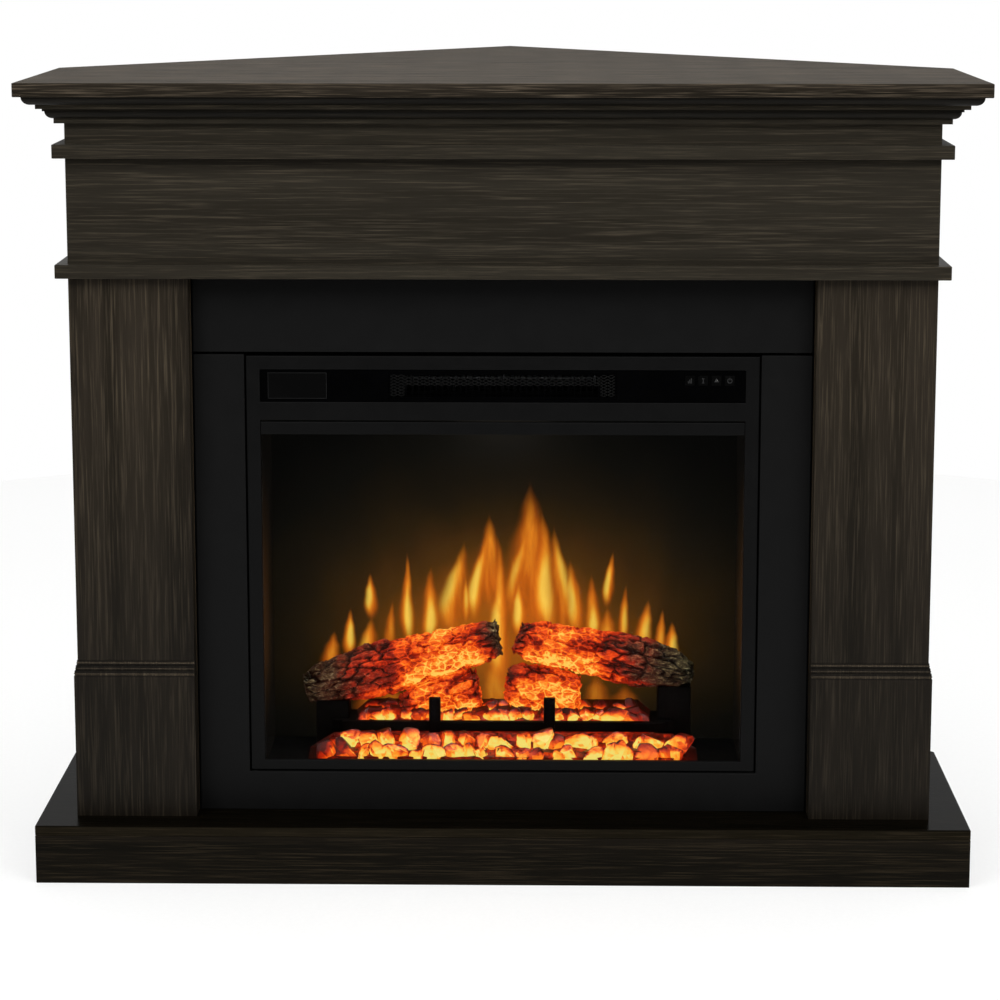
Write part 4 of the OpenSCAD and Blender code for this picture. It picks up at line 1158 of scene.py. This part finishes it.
    def triangle(self, bm: Mesh) -> None:
        """A triangle that points up.

        Args:
            bm: The mesh.
        """
        bmesh.ops.create_circle(bm, cap_ends=True, segments=3, radius=self.mark_size,
                                matrix=Matrix.Rotation(math.radians(90), 4, "X"))
        thicken(bm, bm.faces, -self.mark_lift)

    def ring(self, bm: Mesh) -> None:
        """A ring that is open at the top, with a stroke in the opening.

        Args:
            bm: The mesh.
        """
        start, turn = (math.radians(angle) for angle in self.ring_turn)
        bmesh.ops.create_grid(bm, x_segments=1, y_segments=1, size=0.5,
                              matrix=Matrix.Diagonal((*self.ring_line, 1, 1)))
        bmesh.ops.translate(bm, verts=bm.verts, vec=(self.mark_size * 0.85, -self.mark_lift / 2, 0))
        bmesh.ops.rotate(bm, verts=bm.verts, cent=(0, 0, 0), matrix=Matrix.Rotation(-start, 3, "Y"))
        bmesh.ops.spin(bm, geom=[*bm.faces, *bm.edges, *bm.verts], cent=(0, 0, 0), axis=(0, -1, 0),
                       angle=turn, steps=self.ring_steps)
        self.stroke(bm, 0, self.mark_size * 0.7, self.ring_line[0], self.mark_size)


@dataclass
class Flame:
    """One flame of the image: its tip, foot, width and veil, and its core's strength, side and height.

    The sway bends it to one side on its way up, and the fullness is how much of its width it keeps there.
    """

    tip: Span
    foot: Span
    width: float
    veil: float
    core: float
    side: float = 0.0
    height: float = 0.4
    sway: float = 0.0
    fullness: float = 0.5


@dataclass
class FlameImage:
    """The flames on the screen, as glowing sheets close in front of it that stand in for the projected light.

    The lean says how late a flame bends over to its tip, the waves how many half waves it sways on the way,
    and the fill how much of its width its sheet takes. The core size is the reach of its core, as a share of
    the sheet's half width and of its height. Each row is one flame, in the order of Flame's fields.
    """

    front: float = -230.4
    layer: float = 0.13
    across: int = 12
    up: int = 30
    lean: float = 1.4
    waves: float = 1.6
    fill: float = 0.72
    core_size: Span = (0.5, 0.26)
    rows: tuple[tuple, ...] = (
        ((-9, 236), (-9, 140), 40, 0.6, 0.3),
        ((-164, 190), (-168, 146), 34, 0.4, 0.05),
        ((-139, 190), (-140, 142), 40, 0.45, 0.1),
        ((114, 204), (115, 148), 34, 0.5, 0.15),
        ((149, 190), (149, 146), 38, 0.45, 0.1),
        ((60, 300), (60, 200), 120, 0.18, 0.0),
        ((-60, 300), (-60, 190), 120, 0.15, 0.0),
        ((32, 446), (35, 228), 70, 0.95, 0.08, -0.1, 0.7, 0, 0.3),
        ((26, 396), (11, 262), 20, 0.6, 0.55, -0.2, 0.5, -4),
        ((38, 412), (58, 236), 30, 0.95, 1.0, 0.3, 0.42, -7),
        ((18, 326), (20, 238), 19, 0.95, 1.0, -0.3, 0.5),
        ((-18, 406), (-16, 276), 36, 0.92, 0.12, 0.1, 0.6, 0, 0.4),
        ((-22, 386), (-35, 262), 21, 0.95, 1.0, -0.2, 0.42, -3),
        ((-12, 384), (3, 226), 17, 0.7, 0.25, 0, 0.5, -3),
        ((-14, 344), (4, 176), 27, 0.95, 1.0, -0.35, 0.45, -6),
        ((-52, 372), (-62, 242), 31, 0.9, 0.95, -0.5, 0.5, -4),
        ((-47, 330), (-47, 262), 11, 0.7, 0.6, 0.2, 0.5),
        ((65, 392), (70, 240), 20, 0.85, 0.7, 0.4, 0.55, 4, 0.8),
        ((83, 350), (88, 240), 22, 0.9, 1.0, -0.4, 0.5, 2),
        ((109, 332), (108, 236), 19, 0.9, 0.9, 0, 0.28, 1.5),
        ((134, 360), (126, 284), 14, 0.9, 0.95, -0.3, 0.4),
        ((127, 290), (127, 226), 24, 0.75, 0.5, -0.1, 0.35),
        ((150, 320), (145, 234), 13, 0.8, 0.75, 0.3, 0.42),
        ((175, 300), (171, 222), 21, 0.9, 0.8, 0.3, 0.45, -2),
        ((195, 288), (190, 216), 14, 0.8, 0.35, 0.2),
        ((204, 272), (207, 212), 18, 0.9, 0.95, 0.45, 0.42, -2),
        ((-208, 258), (-215, 202), 22, 0.75, 0.3),
        ((-188, 288), (-191, 218), 15, 0.9, 0.95, 0.2, 0.45),
        ((-164, 332), (-162, 268), 16, 0.95, 1.0, -0.3, 0.5),
        ((-162, 276), (-168, 208), 24, 0.85, 0.6, -0.5, 0.4),
        ((-136, 298), (-142, 222), 14, 0.7, 0.3, 0.2),
        ((-122, 360), (-115, 234), 18, 0.95, 1.0, 0.2, 0.32, -3, 0.25),
        ((-86, 342), (-95, 234), 21, 0.95, 1.0, 0.1, 0.3, 2.5),
    )

    def build(self) -> None:
        """Makes all the flames as one piece, each row as one flame."""
        bm = bmesh.new()
        layers = point_layers(bm, "core", "veil")
        for index, row in enumerate(self.rows):
            self.sheet(bm, layers, Flame(*row), self.front - index * self.layer)
        hand_over(bm, "flame_image", Palette.FLAME, "fireplace", closed=False)

    def sheet(self, bm: Mesh, layers: Layers, flame: Flame, y: float) -> None:
        """Adds one flame.

        Args:
            bm: The mesh.
            layers: Its core and veil layers.
            flame: The flame.
            y: Where its sheet stands.
        """
        full = flame.fullness
        girth = ((0.0, 0.6), (0.32, 1.0), (0.6, 0.45 + 0.6 * full), (0.82, 0.2 + 0.4 * full), (1.0, 0.04))
        wide, tall = self.core_size
        made = bmesh.ops.create_grid(bm, x_segments=self.across, y_segments=self.up, size=1)["verts"]
        for vert in made:
            side, share = vert.co.x, (vert.co.y + 1) / 2
            middle = flame.foot[0] + (flame.tip[0] - flame.foot[0]) * share ** self.lean
            middle += flame.sway * math.sin(share * math.pi * self.waves)
            vert.co = (middle + side * self.fill * flame.width * along(girth, share), y,
                       flame.foot[1] + (flame.tip[1] - flame.foot[1]) * share)
            off = ((side - flame.side) / wide) ** 2 + ((share - flame.height) / tall) ** 2
            body = 0.16 + 0.2 * (1 - abs(side)) + 0.12 * ease(share, 0.2, 0.6)
            vert[layers[0]] = body + flame.core * math.exp(-off) * 0.8
            edge = 1 - ease(abs(side), 0.08, 1.0)
            vert[layers[1]] = flame.veil * edge * ease(share, 0.0, 0.3) * (1 - ease(share, 0.66, 1.0))


@dataclass
class Log:
    """One log of the set: its axis in the X-Z plane, its girth along the way and where its painted glow lies.

    The node is the CAD node that it stands for, and the seam is how bright the painted glow along its foot
    is.
    """

    name: str
    node: str
    start: Span
    end: Span
    deep: float
    tall: tuple[Span, ...]
    glow_run: tuple[Span, ...]
    seed: int
    seam: float = 0.0
    around: int = 120
    stations: int = 210


@dataclass
class LogSet:
    """Four resin logs with cracked bark.

    The plate is the size of the bark's plates, and the stretch how much longer they are along the log. The
    cap is the share of the rings that close each end, and the taper how much thinner the log is at its ends,
    and over which share of its length. The end relief says how far the waves, the bulges and the cracks push
    an end in or out. The seam's place runs from -1 at the underside to 1 on top.
    """

    y: float = -258.0
    cap: float = 0.07
    plate: float = 11.0
    stretch: float = 0.36
    taper: Span = (0.16, 0.05)
    seed: int = 5
    seed_steps: Point = (7.3, 3.1, 5.7)
    crack_width: Span = (0.02, 0.2)
    crack_depth: float = 4.2
    wave_height: float = 2.6
    bulge_height: float = 2.4
    front_swell: float = 1.5
    end_relief: Point = (3.5, 5.0, 2.0)
    seam_place: float = -0.72
    seam_width: float = 0.1
    logs: tuple[Log, ...] = (
        Log("log_left_bark", "log_left", (-241, 190), (-7, 255), 21.5, seed=3, seam=0.42,
            tall=((0, 20), (0.12, 27), (0.35, 33), (0.62, 29), (0.88, 26), (1, 23)),
            glow_run=((0.0, 0.05), (0.14, 0.16), (0.26, 0.36), (0.44, 0.52), (0.56, 0.88), (0.72, 1.0),
                 (0.88, 0.82), (0.95, 0.4), (1.0, 0.1))),
        Log("log_right_bark", "log_right", (230, 213), (19, 255), 21.5, seed=8, seam=0.42,
            tall=((0, 14), (0.12, 25), (0.3, 31), (0.55, 29), (0.82, 25), (1, 21)),
            glow_run=((0.0, 0.02), (0.16, 0.08), (0.3, 0.3), (0.46, 0.5), (0.6, 0.82), (0.8, 0.94),
                 (0.94, 0.8), (1.0, 0.4))),
        Log("small_log_left_bark", "small_logs", (-122, 170), (-31, 192), 17.5, seed=14, around=96,
            stations=120, tall=((0, 15), (0.3, 24), (0.7, 27), (1, 25)),
            glow_run=((0.0, 0.42), (0.25, 0.92), (0.6, 1.0), (0.9, 0.95), (1.0, 0.55))),
        Log("small_log_right_bark", "small_logs", (92, 187), (4, 198), 17.5, seed=21, around=96,
            stations=120, tall=((0, 22), (0.4, 28), (0.8, 28), (1, 23)),
            glow_run=((0.0, 0.7), (0.3, 0.92), (0.8, 0.9), (1.0, 0.5))),
    )

    def build(self) -> None:
        """Makes the logs."""
        noise.seed_set(self.seed)
        for log in self.logs:
            bm = bmesh.new()
            self.shape(bm, log)
            hand_over(bm, log.name, Palette.BARK, "fireplace", (log.node,))

    def station(self, share: float) -> Span:
        """Where a ring of the log lies.

        Args:
            share: The ring's place from one pole to the other, 0 to 1.

        Returns:
            Its share along the axis and its share of the radius.
        """
        if share < self.cap:
            return 0.0, share / self.cap
        if share > 1 - self.cap:
            return 1.0, (1 - share) / self.cap
        run = (share - self.cap) / (1 - 2 * self.cap)
        thinner, reach = self.taper
        return run, 1 - thinner * (1 - ease(min(run, 1 - run), 0, reach))

    def shape(self, bm: Mesh, log: Log) -> None:
        """Shapes a ball into one log: stretched along its axis, with plates, cracks and broken ends.

        Args:
            bm: The mesh.
            log: The log.
        """
        crack_layer, glow_layer = point_layers(bm, "crack", "glow_level")
        bmesh.ops.create_uvsphere(bm, u_segments=log.around, v_segments=log.stations, radius=1)
        start, end = (Vector((x, self.y, z)) for x, z in (log.start, log.end))
        length, ahead = (end - start).length, (end - start).normalized()
        lift = Vector((-ahead.z, 0, ahead.x)) * (1 if ahead.x > 0 else -1)
        shift = Vector([log.seed * step for step in self.seed_steps])
        for vert in bm.verts:
            share, radius = self.station(math.acos(max(-1, min(1, -vert.co.z))) / math.pi)
            round_about = math.atan2(vert.co.y, vert.co.x)
            up, out = math.sin(round_about), math.cos(round_about)
            tall = along(log.tall, share)
            spot = Vector((share * length * self.stretch, out * log.deep * radius, up * tall * radius))
            spot = spot / self.plate + shift
            spot += 0.42 * noise.noise_vector(spot * 0.8) + 0.16 * noise.noise_vector(spot * 2.6)
            reach = noise.voronoi(spot)[0]
            crack = 1 - ease(reach[1] - reach[0], *self.crack_width)
            wave = noise.fractal(spot * 2.3, 0.8, 2.1, 4)
            bulge = noise.noise(spot * 0.3)
            grow = -self.crack_depth * crack + self.wave_height * wave + self.bulge_height * bulge
            grow *= 0.25 + 0.75 * radius
            side = lift * up * (tall + grow) * radius
            depth = Vector((0, out * (log.deep + min(grow, self.front_swell)) * radius, 0))
            push = 0.0
            if share in (0.0, 1.0):
                by_wave, by_bulge, by_crack = self.end_relief
                push = (by_wave * wave + by_bulge * bulge - by_crack * crack) * (1 if share else -1)
            vert.co = start + ahead * (share * length + push) + side + depth
            glow_run = along(log.glow_run, share)
            # Painted light: the glow is stronger on the underside, towards the embers.
            lit = 0.78 + 0.22 * ease(-up, -0.9, 0.3)
            glow_level = glow_run * lit * (0.95 + 0.5 * noise.noise(spot * 0.45 + shift))
            # Painted glow along the log's foot.
            glow_level += log.seam * glow_run * math.exp(-((up - self.seam_place) / self.seam_width) ** 2)
            vert[crack_layer] = crack
            vert[glow_layer] = max(0.0, glow_level)


@dataclass
class EmberRow:
    """A row of ember lumps along X: its place, half width and count, their half sizes and the dull share."""

    y: float
    z: float
    half_width: float
    count: int
    size: Point
    dull: float = 0.3


@dataclass
class EmberBed:
    """A bed of clear ember lumps on its moulded cover, which keeps the CAD form.

    The painted glow fades out between the two distances of the fade from the heart, which is the X of the
    fire's middle, and it loses the share of painted top shade between the two heights of the top. The cover's
    depth is sunk to a share, and it drops by a share over a run beyond its shoulders. Cover holds its core
    and its glow level.
    """

    node: str
    rows: tuple[EmberRow, ...]
    # How strong the bed's painted glow is.
    heat: float
    fade: Span
    seed: int
    floor: float
    shoulder: float
    top: Span
    painted_top_shade: float
    sink: float = 0.88
    drop: float = 0.7
    drop_run: float = 20
    cover: Span = (0.34, 0.8)
    heart: float = 5
    faded: float = 0.85
    ball: float = 1.25
    face_cuts: int = 3
    rim_cuts: int = 6
    sectors: int = 20

    def build(self) -> None:
        """Makes the bed as one piece."""
        draw = random.Random(self.seed)
        bm = bmesh.new()
        bm.from_mesh(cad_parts[self.node].data)
        bmesh.ops.scale(bm, vec=(1 / MM,) * 3, verts=bm.verts)
        bmesh.ops.remove_doubles(bm, verts=bm.verts, dist=WELD_REACH)
        for side in (-1, 1):
            bmesh.ops.bisect_plane(bm, geom=[*bm.verts, *bm.edges, *bm.faces],
                                   plane_co=(side * self.shoulder, 0, 0), plane_no=(1, 0, 0))
        core, glow_level = point_layers(bm, "core", "glow_level")
        back = self.rows[-1].y
        for vert in bm.verts:
            vert[core], vert[glow_level] = self.cover
            vert.co.y = back + (vert.co.y - back) * self.sink
            beyond = ease(abs(vert.co.x), self.shoulder, self.shoulder + self.drop_run)
            vert.co.z -= self.drop * (vert.co.z - self.floor) * beyond
        for row in self.rows:
            pitch = 2 * row.half_width / row.count
            for index in range(row.count):
                x = -row.half_width + (index + 0.5 + draw.uniform(-0.25, 0.25)) * pitch
                centre = Vector((x, row.y + draw.uniform(-1.0, 1.0), row.z + draw.uniform(-2.0, 2.5)))
                shine = draw.uniform(0.45, 0.7) if draw.random() < row.dull else draw.uniform(0.85, 1.08)
                self.lump(bm, (core, glow_level), centre, row.size, shine, draw)
        self.light(bm, glow_level)
        hand_over(bm, f"{self.node}_lumps", Palette.EMBER, "fireplace", (self.node,),
                  smooth=False)

    def lump(self, bm: Mesh, layers: Layers, centre: Vector, size: Point, shine: float,
             draw: random.Random) -> None:
        """Adds one broken lump: a ball cut by planes to a blunt block, with painted shade on its rim and
        towards its top.

        Args:
            bm: The mesh.
            layers: Layers that take how bright each point is in its lump, and how bright the lump is.
            centre: Its middle.
            size: Its half sizes.
            shine: How bright the lump is.
            draw: The source of its chance shape.
        """
        made = bmesh.ops.create_icosphere(bm, subdivisions=3, radius=self.ball)["verts"]
        cuts = [(Vector((draw.gauss(0, 0.5), -1, draw.gauss(0.1, 0.4))), draw.uniform(0.4, 0.62))
                for _ in range(self.face_cuts)]
        start = draw.uniform(0, math.tau)
        for index in range(self.rim_cuts):
            way = start + (index + draw.uniform(-0.45, 0.45)) * math.tau / self.rim_cuts
            facing = Vector((math.cos(way), draw.gauss(0, 0.5), math.sin(way)))
            cuts.append((facing, draw.uniform(0.5, 1.0)))
        for facing, reach in cuts:
            facing.normalize()
            for vert in made:
                over = vert.co.dot(facing) - reach
                if over > 0:
                    vert.co -= facing * over
        self.shade(made, layers, shine)
        grow = draw.uniform(0.85, 1.15)
        size = (size[0] * draw.uniform(0.6, 1.35), size[1], size[2] * draw.uniform(0.75, 1.2))
        turn = Matrix.Rotation(draw.uniform(-0.6, 0.6), 4, "Y")
        turn @= Matrix.Rotation(draw.uniform(-0.2, 0.2), 4, "X")
        matrix = Matrix.Translation(centre) @ turn @ Matrix.Diagonal((*(grow * s for s in size), 1))
        bmesh.ops.transform(bm, matrix=matrix, verts=made)
        for vert in made:
            vert.co.z = max(vert.co.z, self.floor + 0.3)

    def shade(self, made: Sequence[bmesh.types.BMVert], layers: Layers, shine: float) -> None:
        """Writes how bright the painted glow of each point of a lump is: painted shade on its outline, seen
        from the front, and on top.

        Args:
            made: The lump's points, still round the origin.
            layers: See lump.
            shine: How bright the lump is.
        """
        outline: dict[int, float] = {}
        ways = [int(math.atan2(vert.co.z, vert.co.x) * self.sectors / math.tau) for vert in made]
        for way, vert in zip(ways, made):
            outline[way] = max(outline.get(way, 0.1), math.hypot(vert.co.x, vert.co.z))
        for way, vert in zip(ways, made):
            rim = ease(math.hypot(vert.co.x, vert.co.z) / outline[way], 0.88, 1.0)
            vert[layers[0]] = (1 - 0.68 * rim) * (1 - 0.45 * ease(vert.co.z, 0.1, 0.9))
            vert[layers[1]] = shine

    def light(self, bm: Mesh, glow_level: bmesh.types.BMLayerItem) -> None:
        """Writes how bright the painted glow of each face is by the way it faces, and of each point by its
        place along the bed.

        Args:
            bm: The mesh.
            glow_level: Layer that holds how bright each lump is.
        """
        bm.normal_update()
        for vert in bm.verts:
            # Painted glow fades towards the bed's ends, and painted shade darkens its top.
            vert[glow_level] *= self.heat * (1 - self.faded * ease(abs(vert.co.x - self.heart), *self.fade))
            vert[glow_level] *= 1 - self.painted_top_shade * ease(vert.co.z, *self.top)
        facet = bm.faces.layers.float.new("facet")
        front = Vector((0.12, -0.98, 0.1)).normalized()
        for face in bm.faces:
            lean = math.sin(face.normal.dot((17, 11, 19)))
            face[facet] = 0.35 + 0.62 * ease(face.normal.dot(front), -0.1, 0.8) + 0.26 * lean


@dataclass
class Grate:
    """The cast grate: a front bar with two uprights, and the stands under the large logs' outer ends."""

    bar: tuple[Point, Point] = ((-196, -289, 146.2), (196, -281, 158.2))
    uprights: tuple[float, ...] = (-83, 56)
    upright_width: float = 14
    upright_depth: Span = (-291, -283.5)
    upright_top: float = 188.2
    upright_seat: float = 1
    stand_tops: tuple[Span, ...] = ((-208, 180), (208, 199))
    stand_depth: Span = (-276, -238)
    stand_width: float = 40
    arm_front: float = -283
    arm_reach: float = 30
    floor: float = 120
    edge: float = 1.1

    def build(self) -> None:
        """Makes the grate as one piece."""
        bm = bmesh.new()
        block(bm, *self.bar)
        foot, head = self.bar[0][2], self.bar[1][2]
        front, back = self.upright_depth
        for x in self.uprights:
            half = self.upright_width / 2
            block(bm, (x - half, front, foot - self.upright_seat), (x + half, back, self.upright_top))
        front, back = self.stand_depth
        for x, top in self.stand_tops:
            half = self.stand_width / 2
            block(bm, (x - half, front, self.floor), (x + half, back, top))
            near, far = sorted((x, x - math.copysign(self.arm_reach, x)))
            block(bm, (near, self.arm_front, foot), (far, back, head))
        bmesh.ops.bevel(bm, geom=list(bm.edges), offset=self.edge, affect="EDGES", segments=2, profile=0.5,
                        material=-1)
        hand_over(bm, "grate_casting", Palette.GRATE, "fireplace", ("fire_grate",),
                  smooth=False)


LOWER_BED = EmberBed(
    "ember_bed_lower", heat=1.1, fade=(178, 234), seed=5, floor=120, shoulder=205, top=(149, 158),
    painted_top_shade=0.4,
    rows=(EmberRow(-334, 129, 222, 21, (13, 6, 15), 0.4), EmberRow(-319, 142, 217, 19, (15, 9, 14))))
UPPER_BED = EmberBed(
    "ember_bed_upper", heat=1.06, fade=(140, 200), seed=9, floor=148, shoulder=165, top=(160, 173),
    painted_top_shade=0.68,
    rows=(EmberRow(-273, 160, 178, 21, (13, 6, 9), 0.25), EmberRow(-256, 166, 168, 17, (14, 9, 10), 0.4)))


@dataclass
class Firebox:
    """The inside of the insert: walls, screen, flames, logs, embers and grate."""

    wall_edge: float = 0.3
    screen_edge: float = 0.4

    def build(self) -> None:
        """Dresses the walls and makes what stands in front of the screen."""
        casing = ["casing_base", "casing_top", "casing_sides", "casing_back", "firebox_ceiling"]
        dress(casing, Palette.CASING, self.wall_edge)
        dress(["firebox_sides"], Palette.FIRE_SIDE, self.wall_edge)
        dress(["flame_screen"], Palette.SCREEN, self.screen_edge)
        dress(["flame_mask"], Palette.MASK)
        for part in (Grate(), FlameImage(), LogSet(), LOWER_BED, UPPER_BED):
            part.build()


@dataclass
class Works:
    """The moving and electric parts behind the screen and over the firebox, each with its finish and edge."""

    parts: tuple[tuple[str, Finish, float], ...] = (
        ("flame_spinner", Palette.FOIL, 0.0), ("spinner_bush", Palette.BRASS, 0.3),
        ("spinner_motor", Palette.MOTOR, 0.5), ("led_strips", Palette.LED, 0.0),
        ("blower_wheel", Palette.ALUMINIUM, 0.0), ("blower_housing", Palette.HOUSING, 0.3),
        ("heating_element", Palette.CERAMIC, 0.3), ("power_board", Palette.CIRCUIT, 0.2),
        ("cord_gland", Palette.RUBBER, 0.4),
    )

    def build(self) -> None:
        """Dresses the works."""
        for name, finish, edge in self.parts:
            dress([name], finish, edge)


@dataclass
class SoftLamp:
    """A square lamp: where it hangs, what it points at and its side, in metres, and its watts and colour."""

    name: str
    at: Point
    target: Point
    side: float
    power: float
    colour: Point = (1, 1, 1)


@dataclass
class Studio:
    """Pale floor, soft lamps, white backdrop and the camera at the photograph's angle.

    The sky's stops run from the nadir to the zenith. The backdrop comes in between the two Y of behind, for
    directions that point away from the viewer.
    """

    camera_at: Point = (0.0427, -3.425, 1.13)
    pitch: float = 8.99
    yaw: float = 0.851
    lens: float = 96.39
    sensor: float = 36
    shift_y: float = -0.165
    sky: tuple[Span, ...] = ((0.45, 0.1), (0.55, 0.26), (0.75, 0.7), (1.0, 1.0))
    behind: Span = (0.1, 0.8)
    backdrop_share: float = 0.36
    backdrop: Colour = (0.95, 0.95, 0.95, 1)
    floor_radius: float = 2.1
    lamps: tuple[SoftLamp, ...] = (
        SoftLamp("key_left", (-1.7, -2.3, 2.5), (0, -0.3, 0.45), 1.5, 46.0),
        SoftLamp("key_right", (1.7, -2.3, 2.5), (0, -0.3, 0.45), 1.5, 46.0),
        SoftLamp("top_soft", (0, 0.1, 2.9), (0, 0, 0.9), 1.8, 34),
        SoftLamp("hearth_fill", (0, -0.29, 0.53), (0, -0.27, 0.2), 0.1, 0.5, (1.0, 0.86, 0.7)),
    )

    def build(self) -> None:
        """Makes the studio."""
        self.camera()
        self.world()
        self.floor()
        for lamp in self.lamps:
            self.hang(lamp)

    def camera(self) -> None:
        """Makes the camera."""
        data = bpy.data.cameras.new("camera")
        data.lens, data.sensor_width, data.shift_y = self.lens, self.sensor, self.shift_y
        camera = bpy.data.objects.new("camera", data)
        camera.location = self.camera_at
        camera.rotation_euler = (math.radians(90 - self.pitch), 0, math.radians(self.yaw))
        bpy.context.scene.collection.objects.link(camera)
        bpy.context.scene.camera = camera
        bpy.context.scene.view_settings.view_transform = "Standard"

    def hang(self, lamp: SoftLamp) -> None:
        """Adds a lamp that the camera doesn't see.

        Args:
            lamp: The lamp.
        """
        data = bpy.data.lights.new(lamp.name, "AREA")
        data.size, data.energy, data.color = lamp.side, lamp.power, lamp.colour
        light = bpy.data.objects.new(lamp.name, data)
        light.location = lamp.at
        light.rotation_euler = (Vector(lamp.target) - Vector(lamp.at)).to_track_quat("-Z", "Y").to_euler()
        light.visible_camera = False
        bpy.context.scene.collection.objects.link(light)

    def world(self) -> None:
        """Makes the world: white for the camera, and for light a soft sky over a bright backdrop."""
        world = bpy.data.worlds.new("studio")
        bpy.context.scene.world = world
        bench = cleared(world)
        source = bench.put("ShaderNodeTexCoord").outputs["Generated"]
        way = bench.put("ShaderNodeSeparateXYZ", {"Vector": source}).outputs
        sky = bench.ramp(bench.span(way["Z"], -1, 1), [(at, (*(level,) * 3, 1)) for at, level in self.sky])
        lit = bench.blend(bench.span(way["Y"], *self.behind, 0, self.backdrop_share), sky, self.backdrop)
        seen = looked_at(bench, bench.span(way["Y"], *self.behind))
        shade = bench.put("ShaderNodeBackground", {"Color": bench.blend(seen, lit, WHITE), "Strength": 1.0})
        bench.put("ShaderNodeOutputWorld", {"Surface": shade.outputs[0]})

    def floor(self) -> None:
        """Makes the pale floor, which keeps the object's soft shadow and runs into the white backdrop."""
        bm = bmesh.new()
        bmesh.ops.create_circle(bm, cap_ends=True, segments=96, radius=self.floor_radius)
        floor = shown(bm, "floor", Palette.FLOOR)


def main() -> None:
    """Builds the fireplace and its studio in order."""
    logging.basicConfig(level=logging.INFO, format="%(name)s: %(message)s")
    for part in (Studio(), Mantel(), Surround(), Console(), Firebox(), Works()):
        part.build()


if __name__ == "__main__":
    main()
